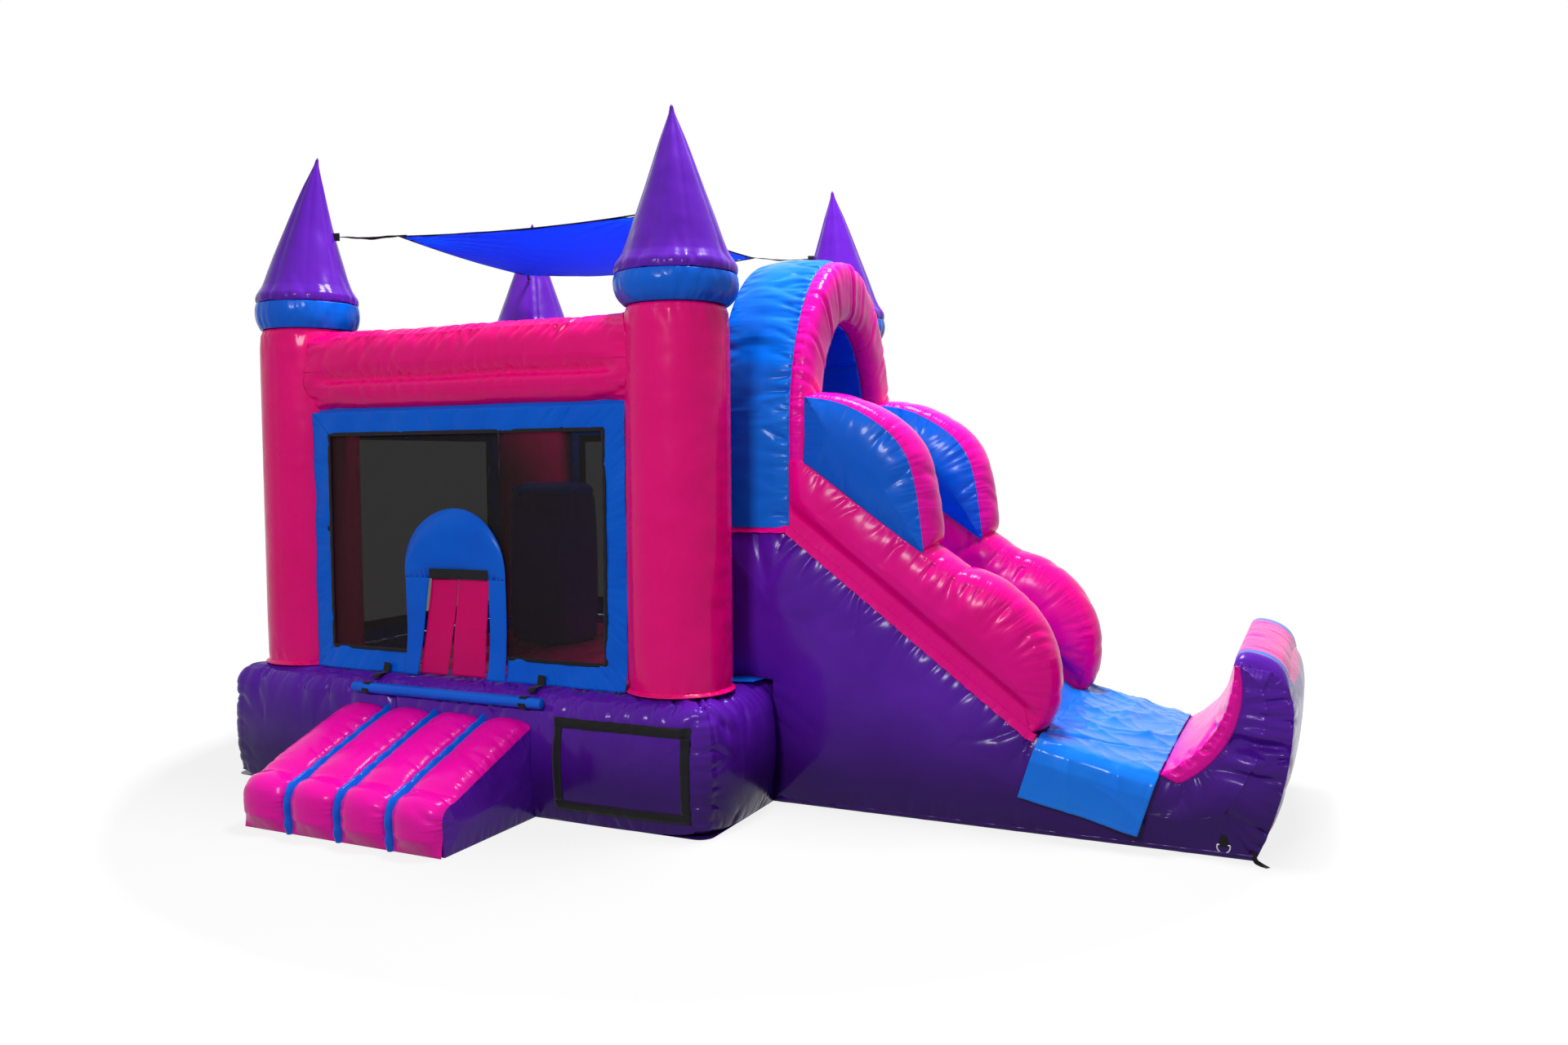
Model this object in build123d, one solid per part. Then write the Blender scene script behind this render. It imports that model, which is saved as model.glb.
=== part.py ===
from build123d import *
import os
from math import atan2, cos, degrees, pi, radians, sin, sqrt

# Inflatable bounce house with a slide. Millimetres, +Z up, ground at Z = 0.
# The origin is on the ground, in the middle of the four corner posts.
# +X points from the house to the slide and -Y is the entrance side.
# Every inflated chamber is a closed skin around an empty space.

os.makedirs("parts", exist_ok=True)

# ---------------------------------------------------------------- fits
SKIN = 6.0            # wall of an inflated chamber
SHEET = 4.0           # sewn vinyl panel
WEBBING = 3.0         # strap thickness
GAP = 0.3             # clearance between neighbouring pieces
HALF_TURN = 180.0     # degrees

# ---------------------------------------------------------------- house
SPAN_X = 2800.0       # between post centres, along the front
SPAN_Y = 2433.0       # between post centres, front to back
POST_R = 300.0
POST_TOP = 2906.0
BASE_H = 732.0
LEDGE_X = 367.0       # base beyond the post centres, left and right
LEDGE_Y = 376.0       # base beyond the post centres, front and back
BEAM_W = 400.0        # width of a base beam
BASE_ROUND = 110.0    # top edge of the base
CORNER_ROUND = 90.0   # upright corners of the base
FLOOR_BELOW = 32.0    # crest of the jump floor, below the top of the base
FLOOR_LANES = 6
FLOOR_VALLEY = 35.0   # depth of the seam between two lanes

# ---------------------------------------------------------------- turrets
COLLAR_BELLY_R = 346.0
COLLAR_TOP_R = 342.0
COLLAR_H = 174.0
COLLAR_FOOT_R = 294.0
SPIRE_H = 960.0
SPIRE_TIP_R = 8.0
SPIRE_SHOULDER_H = 110.0   # top of the rounded belly
SPIRE_SHOULDER_R = 304.0
SPIRE_BELLY = 12.0    # how far the belly stands out from a straight side

# ---------------------------------------------------------------- top tubes
TUBE_UPPER_H = 320.0
TUBE_LOWER_H = 200.0
TUBE_TOP = 2880.0
TUBE_DEPTH = 300.0
TUBE_OUT = 83.5       # tube centre outside the post centres
TUBE_UPPER_ROUND = 125.0
TUBE_LOWER_ROUND = 80.0
STUB_LAP = 60.0       # right-hand tubes sewn behind the arch

# ---------------------------------------------------------------- windows
WALL_OUT = 199.5      # wall sheet outside the post centres
FRAME_W = 140.0       # blue border around a window
MESH_T = 2.0
MESH_LAP = 45.0       # mesh sewn behind the border

# ---------------------------------------------------------------- door
DOOR_X = -40.0        # middle of the arched door panel
DOOR_HALF = 380.0
DOOR_SPRING = 1370.0  # height where the arch begins
DOOR_TOP = 1760.0
FLAP_TOP = 1330.0     # hinge line of the two flaps
FLAP_LIFT = 8.0       # foot of a flap, above the base
FLAP_T = 4.0
FLAP_EDGE = 5.0       # daylight beside a flap
FLAP_X = (-226.0, -20.0, -16.0, 206.0)       # corners along the hinge
FLAP_FOOT_X = (-315.0, -104.0, -86.0, 170.0)  # corners along the foot
STRIP_H = 60.0        # hook-and-loop strip above the flaps

# ---------------------------------------------------------------- entrance
RAMP_X = -50.0
RAMP_W = 1400.0
RAMP_BELOW = 162.0    # top of the ramp, below the top of the base
RAMP_NOSE_TOP = 300.0
RAMP_LENGTH = 820.0
RAMP_NOSE_R = 120.0
RAMP_LANES = 4
RAMP_PAD = 75.0       # thickness of the padded top
STRIPE_W = 34.0
STRIPE_SINK = 26.0    # stripe below the crest of the lanes
STRIPE_LIFT = 5.0     # stripe ends above the ground
STEP_R = 33.0         # rolled bumper on the sill
STEP_X0, STEP_X1 = -680.0, 730.0
STEP_STRAP_W = 50.0
STEP_STRAP_RISE = 60.0  # strap sewn to the wall sheet above the sill
STEP_STRAP_IN = 95.0  # strap from the end of the bumper
STEP_ANGLE = 17.5     # bumper round the base's top edge, from level
BANNER_X0, BANNER_X1 = 810.0, 1670.0
BANNER_Z0, BANNER_Z1 = 75.0, 600.0
BANNER_W = 55.0

# ---------------------------------------------------------------- slide
SLIDE_IN = 456.5      # side of the slide, inside the post centres
DECK_Z = 1640.0
DECK_OUT = 113.0      # end of the deck, beyond the base
SLOPE_RUN = 1430.0
SLOPE_END_Z = 540.0
BED_RUN = 670.0
BED_END_Z = 390.0
RAIL_W = 280.0
RAIL_START_H = 390.0  # rail above the deck, where the arch stands on it
RAIL_SHOULDER_RUN, RAIL_SHOULDER_Z = 1220.0, 1330.0   # RUN is from the end of the deck
RAIL_NOSE_RUN, RAIL_NOSE_Z = 1540.0, 800.0
WING_TOP = 2430.0
WING_TIP_RUN = 860.0
WING_BOW_RUN, WING_BOW_Z = 680.0, 2130.0   # a point on the wing's curved edge
END_OUT = 640.0       # far side of the end wall, beyond the bed
END_TOP = 990.0
END_FOOT_OUT = 470.0
END_BELLY_Z = 760.0   # height of the end wall's outermost line
END_CREST_OUT = 360.0  # inner edge of its crest
END_CREST_W = 170.0
END_PAD = 95.0        # padded lining of the end wall
END_PAD_BOW = 75.0    # how deep the lining's curve is
END_PAD_TOE = 0.4     # share of its thickness that the lining's toe lies below the bed
COVER_T = 4.0         # loose slide cover
COVER_DROP = 330.0    # how far the cover hangs over the sides
COVER_SKEW = 0.3      # lean of its hanging ends towards the house
COVER_START = 20.0    # cover from the edge of the deck
COVER_TURN = 50.0     # past the foot of the slope, where it widens over the sides

# ---------------------------------------------------------------- arch
RING_DEPTH = 100.0    # padded ring on the face of the arch
ARCH_IN = 10.0        # foot of the arch, inside the slide
ARCH_LEG = 560.0      # height of the straight legs, above the deck
ARCH_RISE = 1090.0    # top of the arch, above its legs
PASS_IN = 270.0       # doorway, inside the arch
PASS_RISE = 700.0     # top of the doorway, above the legs
ARCH_CELLS = 7        # cells of the curved top, between the legs
CELL_WALL = 30.0      # inner side of a cell, which bulges between its seams
CELL_SEAM = 2.0       # half the cross seam between two cells, in degrees of the arch

# ---------------------------------------------------------------- inside
COLUMN_X, COLUMN_Y = -520.0, 250.0
COLUMN_W, COLUMN_D = 560.0, 400.0
COLUMN_H = 1100.0
COLUMN_CAP = 90.0
CAP_ROUND = 63.0
COLUMN_ROUND = 80.0
CLIMB_RUN = 700.0     # from the foot of the climb to the post centres
CLIMB_IN = 60.0       # side of the climb, inside the slide
CLIMB_LIP = 60.0      # level top of the climb, in front of the deck
HOLD_COUNT = 3
HOLD_R = 60.0
HOLD_HALF = 320.0

# ---------------------------------------------------------------- sail
SAIL_Z = 3520.0
SAIL_T = 3.0
SAIL_CORNERS = ((-800.0, -1000.0), (1050.0, -970.0), (850.0, 900.0), (-1200.0, 900.0))
SAIL_SAG = 45.0       # how far each hem curves in
SAIL_STRAP_W = 25.0
SAIL_STRAP_LAP = 60.0
TAB_W, TAB_H, TAB_T = 50.0, 60.0, 10.0

# ---------------------------------------------------------------- hardware
RING_WIRE_R = 4.0
RING_W = 60.0
RING_DROP = 42.0
RING_Z = 66.0         # height of the ring's bar
LOOP_W = 40.0
PATCH_H = 80.0
RING_INSET = 150.0    # ring from the corner of its wall
INLET_X = 300.0
INLET_R = 127.0       # inside of the blower sleeve
INLET_T = 4.0
INLET_LENGTH = 520.0
INLET_Z = 138.0
ZIP_X0 = -1250.0
ZIP_LENGTH = 420.0
ZIP_TAPE = 36.0
ZIP_Z = 140.0
ZIP_TAPE_T = 3.0
ZIP_BODY = (14.0, 20.0, 6.0)
ZIP_TAG = (9.0, 38.0, 2.0)

# ---------------------------------------------------------------- worked out
BASE_X = SPAN_X / 2 + LEDGE_X
BASE_Y = SPAN_Y / 2 + LEDGE_Y
WALL_Y = SPAN_Y / 2 + WALL_OUT       # plane of the front and back wall sheets
WALL_X = SPAN_X / 2 + WALL_OUT       # plane of the left wall sheet
FLOOR_H = BASE_H - FLOOR_BELOW
FLAP_FOOT = BASE_H + FLAP_LIFT
TUBE_FOOT = TUBE_TOP - TUBE_UPPER_H - TUBE_LOWER_H
COLLAR_TOP = POST_TOP + COLLAR_H
SPIRE_TOP = COLLAR_TOP + SPIRE_H
RAMP_BACK = -BASE_Y - GAP
RAMP_TOP = BASE_H - RAMP_BELOW
SLIDE_HALF = SPAN_Y / 2 - SLIDE_IN
DECK_END = BASE_X + DECK_OUT
SLOPE_END_X = DECK_END + SLOPE_RUN
BED_END_X = SLOPE_END_X + BED_RUN
RAIL_SHOULDER_X = DECK_END + RAIL_SHOULDER_RUN
RAIL_NOSE_X = DECK_END + RAIL_NOSE_RUN
WING_TIP_X = DECK_END + WING_TIP_RUN
WING_BOW_X = DECK_END + WING_BOW_RUN
END_X = BED_END_X + END_OUT
END_FOOT_X = BED_END_X + END_FOOT_OUT
END_CREST_X = BED_END_X + END_CREST_OUT
ARCH_X0 = SPAN_X / 2
RING_X1 = DECK_END + RING_DEPTH
ARCH_HALF = SLIDE_HALF - ARCH_IN
PASS_HALF = ARCH_HALF - PASS_IN
SPRING_Z = DECK_Z + ARCH_LEG          # top of the arch's legs
CLIMB_X0 = SPAN_X / 2 - CLIMB_RUN
CLIMB_HALF = SLIDE_HALF - CLIMB_IN
CORNERS = {"front_left": (-1, -1), "front_right": (1, -1), "back_left": (-1, 1), "back_right": (1, 1)}


# ================================================================ helpers
def box(x0, x1, y0, y1, z0, z1):
    """A block between the six given planes."""
    return Pos((x0 + x1) / 2, (y0 + y1) / 2, (z0 + z1) / 2) * Box(x1 - x0, y1 - y0, z1 - z0)


def outline(*edges):
    """A flat face inside a closed run of edges."""
    return make_face(Curve() + list(edges))


def polygon(*points):
    """A flat face with straight sides."""
    return make_face(Polyline(*points, close=True))


def along_x(face, x0, x1):
    """Carry a (Y, Z) section from x0 to x1."""
    return extrude(Plane.YZ.offset(x0) * face, x1 - x0)


def along_y(face, y0, y1):
    """Carry an (X, Z) side view from y0 to y1."""
    return extrude(Plane((0, y1, 0), x_dir=(1, 0, 0), z_dir=(0, -1, 0)) * face, y1 - y0)


def along_z(face, z0, z1):
    """Carry an (X, Y) plan from z0 to z1."""
    return extrude(Plane.XY.offset(z0) * face, z1 - z0)


def chamber(carry, face, a, b):
    """An inflated chamber: the carried face with a skin all round."""
    return carry(face, a, b) - carry(offset(face, amount=-SKIN), a + SKIN, b - SKIN)


def save(name, *solids):
    """Write one node. Several solids make a group."""
    shapes = [s for shape in solids for s in shape.solids()]
    export_step(shapes[0] if len(shapes) == 1 else Compound(children=shapes), f"parts/{name}.step")


# ================================================================ base
def beam(length, inset):
    """A base beam along X with its outer side at -Y, its ends and top edge rounded."""
    half, depth = length / 2 - inset, BEAM_W - 2 * inset
    plan = Pos(0, depth / 2 + inset) * Rectangle(2 * half, depth)
    body = along_z(plan, inset, BASE_H - inset)
    upright = body.edges().filter_by(Axis.Z).group_by(Axis.Y)[0]
    body = fillet(upright, CORNER_ROUND - inset)
    rim = body.faces().sort_by(Axis.Z)[-1].edges()
    back = rim.sort_by(Axis.Y)[-1]
    return fillet([e for e in rim if e != back], BASE_ROUND - inset)


def side_beam(length, inset):
    """A base beam that fits between the front and back ones."""
    half, depth = length / 2 - inset, BEAM_W - 2 * inset
    body = along_z(Pos(0, depth / 2 + inset) * Rectangle(2 * half, depth), inset, BASE_H - inset)
    rim = body.faces().sort_by(Axis.Z)[-1].edges().sort_by(Axis.Y)[0]
    return fillet(rim, BASE_ROUND - inset)


def base():
    front = beam(2 * BASE_X, 0) - beam(2 * BASE_X, SKIN)
    side_length = 2 * (BASE_Y - BEAM_W - GAP)
    side = side_beam(side_length, 0) - side_beam(side_length, SKIN)
    save("base_front_beam", Pos(0, -BASE_Y, 0) * front)
    save("base_back_beam", Pos(0, BASE_Y, 0) * Rot(0, 0, HALF_TURN) * front)
    save("base_left_beam", Pos(-BASE_X, 0, 0) * Rot(0, 0, -90) * side)
    save("base_right_beam", Pos(BASE_X, 0, 0) * Rot(0, 0, 90) * side)


def jump_floor():
    """Lanes that run front to back, like a row of tubes on a flat underside."""
    half_x, half_y = BASE_X - BEAM_W - GAP, BASE_Y - BEAM_W - GAP
    lane = 2 * half_x / FLOOR_LANES
    valley = FLOOR_H - FLOOR_VALLEY
    edges = [
        Line((half_x, valley), (half_x, 0)),
        Line((half_x, 0), (-half_x, 0)),
        Line((-half_x, 0), (-half_x, valley)),
    ]
    for i in range(FLOOR_LANES):
        x = -half_x + i * lane
        edges.append(ThreePointArc((x, valley), (x + lane / 2, FLOOR_H), (x + lane, valley)))
    save("jump_floor", chamber(along_y, outline(*edges), -half_y, half_y))


# ================================================================ turrets
def post_axis(corner):
    sx, sy = CORNERS[corner]
    return sx * SPAN_X / 2, sy * SPAN_Y / 2


def posts():
    height = POST_TOP - BASE_H
    tube = Cylinder(POST_R, height) - Cylinder(POST_R - SKIN, height - 2 * SKIN)
    for corner in CORNERS:
        save(f"post_{corner}", Pos(*post_axis(corner), BASE_H + height / 2) * tube)


def collar_body(inset):
    """A bulging ring turned about Z, with its foot at Z = 0."""
    foot = (COLLAR_FOOT_R - inset, inset)
    top = (COLLAR_TOP_R - inset, COLLAR_H - inset)
    profile = outline(
        Line((0, inset), foot),
        ThreePointArc(foot, (COLLAR_BELLY_R - inset, COLLAR_H / 2), top),
        Line(top, (0, top[1])),
        Line((0, top[1]), (0, inset)),
    )
    return revolve(Plane.XZ * profile, Axis.Z)


def collars():
    ring = collar_body(0) - collar_body(SKIN)
    save("post_collars", *[Pos(*post_axis(c), POST_TOP) * ring for c in CORNERS])


def spire_body(inset):
    """A cone on a rounded belly, turned about Z, with its foot at Z = 0.

    A negative inset makes it larger.
    """
    floor = max(inset, 0)
    foot = (COLLAR_TOP_R - inset, floor)
    shoulder = (SPIRE_SHOULDER_R - inset, SPIRE_SHOULDER_H)
    tip = (SPIRE_TIP_R, SPIRE_H - inset * SPIRE_H / SPIRE_SHOULDER_R)
    belly = ((foot[0] + shoulder[0]) / 2 + SPIRE_BELLY, SPIRE_SHOULDER_H / 2)
    profile = outline(
        Line((0, floor), foot),
        ThreePointArc(foot, belly, shoulder),
        Line(shoulder, tip),
        Line(tip, (0, tip[1])),
        Line((0, tip[1]), (0, floor)),
    )
    return revolve(Plane.XZ * profile, Axis.Z)


def spire_place(corner):
    return Pos(*post_axis(corner), COLLAR_TOP)


def spires():
    cone = spire_body(0) - spire_body(SKIN)
    for corner in CORNERS:
        save(f"spire_{corner}", spire_place(corner) * cone)


# ================================================================ top tubes
def tube_section(inset):
    """Two stacked tubes, seen along their length, with the joint between them sewn flat."""
    rows = (
        (TUBE_FOOT, TUBE_LOWER_H, TUBE_LOWER_ROUND),
        (TUBE_FOOT + TUBE_LOWER_H, TUBE_UPPER_H, TUBE_UPPER_ROUND),
    )
    deep = TUBE_DEPTH - 2 * inset
    return [
        Pos(0, foot + high / 2) * RectangleRounded(deep, high - 2 * inset, radius - inset)
        for foot, high, radius in rows
    ]


def tube_pair(span, out, reach):
    """Two stacked tubes along X, scooped out at two posts whose centres lie at Y = out."""
    lower, upper = [along_x(s, -reach, reach) for s in tube_section(0)]
    body = lower + upper
    for side in (-1, 1):
        body -= Pos(side * span / 2, out, TUBE_TOP) * Cylinder(POST_R + GAP, 2 * TUBE_TOP)
    return body


def tube_hollow(start, end):
    lower, upper = [along_x(s, start + SKIN, end - SKIN) for s in tube_section(SKIN)]
    return Compound(children=[lower, upper])


def long_tubes(span):
    clear = span / 2 - POST_R - GAP
    return tube_pair(span, TUBE_OUT, span / 2) - tube_hollow(-clear, clear)


def stub_tubes():
    """The right-hand tubes end behind the arch, so they are two short pairs."""
    half, rise = ARCH_HALF - STUB_LAP, ARCH_RISE - STUB_LAP
    doorway = outline(
        EllipticalCenterArc((0, SPRING_Z), half, rise, start_angle=0, arc_size=HALF_TURN),
        Line((-half, SPRING_Z), (-half, DECK_Z)),
        Line((-half, DECK_Z), (half, DECK_Z)),
        Line((half, DECK_Z), (half, SPRING_Z)),
    )
    out = ARCH_X0 - GAP - TUBE_DEPTH / 2 - SPAN_X / 2
    reach = SPAN_Y / 2 + TUBE_OUT - TUBE_DEPTH / 2 - GAP
    clear = SPAN_Y / 2 - POST_R - GAP
    place = Pos(SPAN_X / 2 + out, 0, 0) * Rot(0, 0, 90)
    pair = place * tube_pair(SPAN_Y, out, reach) - along_x(doorway, ARCH_X0 - 2 * TUBE_DEPTH, ARCH_X0)
    hollows = [place * tube_hollow(-clear, -half), place * tube_hollow(half, clear)]
    return (pair - hollows[0] - hollows[1]).solids()


def top_tubes():
    across, back_to_front = long_tubes(SPAN_X), long_tubes(SPAN_Y)
    out_y, out_x = SPAN_Y / 2 + TUBE_OUT, SPAN_X / 2 + TUBE_OUT
    save("top_tubes_front", Pos(0, -out_y, 0) * across)
    save("top_tubes_back", Pos(0, out_y, 0) * Rot(0, 0, HALF_TURN) * across)
    save("top_tubes_left", Pos(-out_x, 0, 0) * Rot(0, 0, -90) * back_to_front)
    save("top_tubes_right", *stub_tubes())


# ================================================================ windows
def wall_half(span):
    """Half the width of a wall sheet, which ends just short of the posts."""
    nearest = WALL_OUT - SHEET / 2
    return span / 2 - sqrt((POST_R + GAP) ** 2 - nearest**2) - GAP


def sheet_piece(x0, x1, z0, z1):
    return box(x0, x1, -SHEET / 2, SHEET / 2, z0, z1)


def window_border(span):
    """Four strips of vinyl around a window, in a wall along X."""
    half, foot, top = wall_half(span), BASE_H, TUBE_FOOT - GAP
    return [
        sheet_piece(-half, half, top - FRAME_W, top),
        sheet_piece(-half, half, foot, foot + FRAME_W),
        sheet_piece(-half, -half + FRAME_W, foot + FRAME_W, top - FRAME_W),
        sheet_piece(half - FRAME_W, half, foot + FRAME_W, top - FRAME_W),
    ]


def mesh_edges(span):
    half = wall_half(span) - FRAME_W + MESH_LAP
    return half, BASE_H + FRAME_W - MESH_LAP, TUBE_FOOT - GAP - FRAME_W + MESH_LAP


def mesh_piece(x0, x1, z0, z1):
    """Netting on the inner side of the wall sheet."""
    inner = SHEET / 2 + GAP
    return box(x0, x1, inner, inner + MESH_T, z0, z1)


def window_mesh(span):
    half, foot, top = mesh_edges(span)
    return [mesh_piece(-half, half, foot, top)]


def place_wall(side, solids):
    turn = {
        "front": Pos(0, -WALL_Y, 0),
        "back": Pos(0, WALL_Y, 0) * Rot(0, 0, HALF_TURN),
        "left": Pos(-WALL_X, 0, 0) * Rot(0, 0, -90),
    }[side]
    return [turn * s for s in solids]


def windows():
    door = box(DOOR_X - DOOR_HALF, DOOR_X + DOOR_HALF, -SHEET, SHEET, 0, DOOR_SPRING)
    strips = [s for strip in window_border(SPAN_X) for s in (strip - door).solids()]
    save("front_window_border", *place_wall("front", strips))
    half, foot, top = mesh_edges(SPAN_X)
    left, right = DOOR_X - DOOR_HALF + MESH_LAP, DOOR_X + DOOR_HALF - MESH_LAP
    beside_door = [mesh_piece(-half, left, foot, top), mesh_piece(right, half, foot, top)]
    above_door = mesh_piece(left, right, DOOR_SPRING, top)
    save("front_window_mesh", *place_wall("front", [*beside_door, above_door]))
    for side, span in (("back", SPAN_X), ("left", SPAN_Y)):
        save(f"{side}_window_border", *place_wall(side, window_border(span)))
        save(f"{side}_window_mesh", *place_wall(side, window_mesh(span)))


def right_wall():
    """Two strips that close the wall between the arch and the right-hand posts."""
    edge = SPAN_Y / 2 - POST_R - GAP
    side = SLIDE_HALF + GAP
    above_legs = max(TUBE_FOOT - SPRING_Z, 0)
    lean = ARCH_HALF * sqrt(1 - (above_legs / ARCH_RISE) ** 2) - 2 * SHEET
    face = polygon(
        (-edge, BASE_H),
        (-side, BASE_H),
        (-side, DECK_Z + GAP),
        (-ARCH_HALF + 2 * SHEET, DECK_Z + GAP),
        (-lean, TUBE_FOOT - GAP),
        (-edge, TUBE_FOOT - GAP),
    )
    strip = along_x(face, ARCH_X0 - GAP - SHEET, ARCH_X0 - GAP)
    save("right_wall_panels", strip, mirror(strip, Plane.XZ))


# ================================================================ door
def door():
    """An arched panel with a wide slot, closed by two flaps under a black strip."""
    half, rise = DOOR_HALF, DOOR_TOP - DOOR_SPRING
    arch = outline(
        Line((DOOR_X - half, BASE_H), (DOOR_X + half, BASE_H)),
        Line((DOOR_X + half, BASE_H), (DOOR_X + half, DOOR_SPRING)),
        EllipticalCenterArc((DOOR_X, DOOR_SPRING), half, rise, start_angle=0, arc_size=HALF_TURN),
        Line((DOOR_X - half, DOOR_SPRING), (DOOR_X - half, BASE_H)),
    )
    top = FLAP_TOP + FLAP_T / 2 + GAP
    slot = polygon(
        (FLAP_X[0] - FLAP_EDGE, top),
        (FLAP_X[3] + FLAP_EDGE, top),
        (FLAP_X[3] + FLAP_EDGE, BASE_H),
        (FLAP_FOOT_X[0] - FLAP_EDGE, BASE_H),
    )
    panel = along_y(arch - slot, -WALL_Y - SHEET / 2, -WALL_Y + SHEET / 2)
    save("door_panel", panel)
    front = -WALL_Y - SHEET / 2 - GAP
    save("door_strip", box(FLAP_X[0], FLAP_X[3], front - WEBBING, front, top, top + STRIP_H))


def flap(name, head, foot):
    """One flap, with a rounded top edge on the hinge line."""
    sheet = along_y(
        polygon((head[0], FLAP_TOP), (head[1], FLAP_TOP), (foot[1], FLAP_FOOT), (foot[0], FLAP_FOOT)),
        -WALL_Y - FLAP_T / 2,
        -WALL_Y + FLAP_T / 2,
    )
    roll = Rot(0, 90, 0) * Cylinder(FLAP_T / 2, head[1] - head[0])
    save(name, sheet + Pos((head[0] + head[1]) / 2, -WALL_Y, FLAP_TOP) * roll)


# ================================================================ entrance
def step_centre(gap):
    """Where the rolled bumper lies against the rounded edge of the base, in (Y, Z)."""
    reach = BASE_ROUND + gap + STEP_R
    a = radians(STEP_ANGLE)
    return -BASE_Y + BASE_ROUND - reach * cos(a), BASE_H - BASE_ROUND + reach * sin(a)


def step_bumper():
    y, z = step_centre(WEBBING + 2 * GAP)
    length = STEP_X1 - STEP_X0
    roll = Cylinder(STEP_R, length) - Cylinder(STEP_R - SKIN, length - 2 * SKIN)
    save("step_bumper", Pos((STEP_X0 + STEP_X1) / 2, y, z) * Rot(0, 90, 0) * roll)
    # each strap hangs from the wall sheet, lies over the ledge and loops round the bumper
    loop = Pos(y, z) * (Circle(STEP_R + GAP + WEBBING) - Circle(STEP_R + GAP))
    edge_y, edge_z = -BASE_Y + BASE_ROUND, BASE_H - BASE_ROUND
    bend = Pos(edge_y, edge_z) * (Circle(BASE_ROUND + GAP + WEBBING) - Circle(BASE_ROUND + GAP))
    sector = polygon((edge_y, edge_z), (edge_y, BASE_H + BASE_ROUND), (y, BASE_H + BASE_ROUND), (y, z))
    face_y = -WALL_Y - SHEET / 2 - GAP
    over = Pos((edge_y + face_y) / 2, BASE_H + GAP + WEBBING / 2) * Rectangle(face_y - edge_y, WEBBING)
    up_z = BASE_H + GAP + STEP_STRAP_RISE / 2
    up = Pos(face_y - WEBBING / 2, up_z) * Rectangle(WEBBING, STEP_STRAP_RISE)
    profile = loop + (bend & sector) + over + up
    starts = (STEP_X0 + STEP_STRAP_IN, STEP_X1 - STEP_STRAP_IN - STEP_STRAP_W)
    save("bumper_straps", *[along_x(profile, x, x + STEP_STRAP_W) for x in starts])


def ramp_profile(inset):
    """Side view of the ramp in (Y, Z), drawn in by inset on its top and nose."""
    back = RAMP_BACK
    front = back - RAMP_LENGTH + inset
    shoulder = front + RAMP_NOSE_R
    slope = (RAMP_TOP - RAMP_NOSE_TOP) / (RAMP_LENGTH - RAMP_NOSE_R)
    top = RAMP_TOP - inset
    nose_top = top - slope * (back - shoulder)
    nose_foot = nose_top - RAMP_NOSE_R
    bulge = RAMP_NOSE_R * (1 - cos(pi / 4))
    return outline(
        Line((back, 0), (back, top)),
        Line((back, top), (shoulder, nose_top)),
        ThreePointArc((shoulder, nose_top), (front + bulge, nose_top - bulge), (front, nose_foot)),
        Line((front, nose_foot), (front, 0)),
        Line((front, 0), (back, 0)),
    )


def ramp():
    x0, x1 = RAMP_X - RAMP_W / 2, RAMP_X + RAMP_W / 2
    save("ramp_body", chamber(along_x, ramp_profile(RAMP_PAD + GAP), x0, x1))
    pad = ramp_profile(0) - ramp_profile(RAMP_PAD)
    lane = (RAMP_W - (RAMP_LANES - 1) * STRIPE_W) / RAMP_LANES
    starts = [x0 + i * (lane + STRIPE_W) for i in range(RAMP_LANES)]
    save("ramp_cushion", *[chamber(along_x, pad, x + GAP, x + lane - GAP) for x in starts])
    trim = ramp_profile(STRIPE_SINK) - ramp_profile(RAMP_PAD)
    trim -= Pos(RAMP_BACK - RAMP_LENGTH, 0) * Rectangle(4 * RAMP_PAD, 2 * STRIPE_LIFT)
    save("ramp_stripes", *[along_x(trim, x + lane, x + lane + STRIPE_W) for x in starts[:-1]])


def banner_frame():
    """Four hook-and-loop strips on the front of the base. The space inside is left bare."""
    front = -BASE_Y - GAP
    outer = box(BANNER_X0, BANNER_X1, front - WEBBING, front, BANNER_Z0, BANNER_Z1)
    x0, x1 = BANNER_X0 + BANNER_W, BANNER_X1 - BANNER_W
    z0, z1 = BANNER_Z0 + BANNER_W, BANNER_Z1 - BANNER_W
    save("banner_frame", outer - box(x0, x1, front - 2 * WEBBING, front + WEBBING, z0, z1))


# ================================================================ slide
def slope_z(x):
    """Height of the sliding surface at x."""
    if x <= SLOPE_END_X:
        return DECK_Z + (SLOPE_END_Z - DECK_Z) * (x - DECK_END) / (SLOPE_END_X - DECK_END)
    return SLOPE_END_Z + (BED_END_Z - SLOPE_END_Z) * (x - SLOPE_END_X) / (BED_END_X - SLOPE_END_X)


def slide_bodies():
    side = SLIDE_HALF
    x0 = BASE_X - BEAM_W + GAP
    platform = polygon((x0, BASE_H), (BASE_X, BASE_H), (BASE_X, DECK_Z), (x0, DECK_Z))
    save("platform_block", chamber(along_y, platform, -side, side))
    wedge = polygon(
        (BASE_X + GAP, 0),
        (SLOPE_END_X, 0),
        (SLOPE_END_X, SLOPE_END_Z),
        (DECK_END, DECK_Z),
        (BASE_X + GAP, DECK_Z),
    )
    save("slide_body", chamber(along_y, wedge, -side, side))
    bed_x = SLOPE_END_X + GAP
    bed = polygon((bed_x, 0), (BED_END_X, 0), (BED_END_X, BED_END_Z), (bed_x, slope_z(bed_x)))
    save("landing_bed", chamber(along_y, bed, -side, side))


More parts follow.
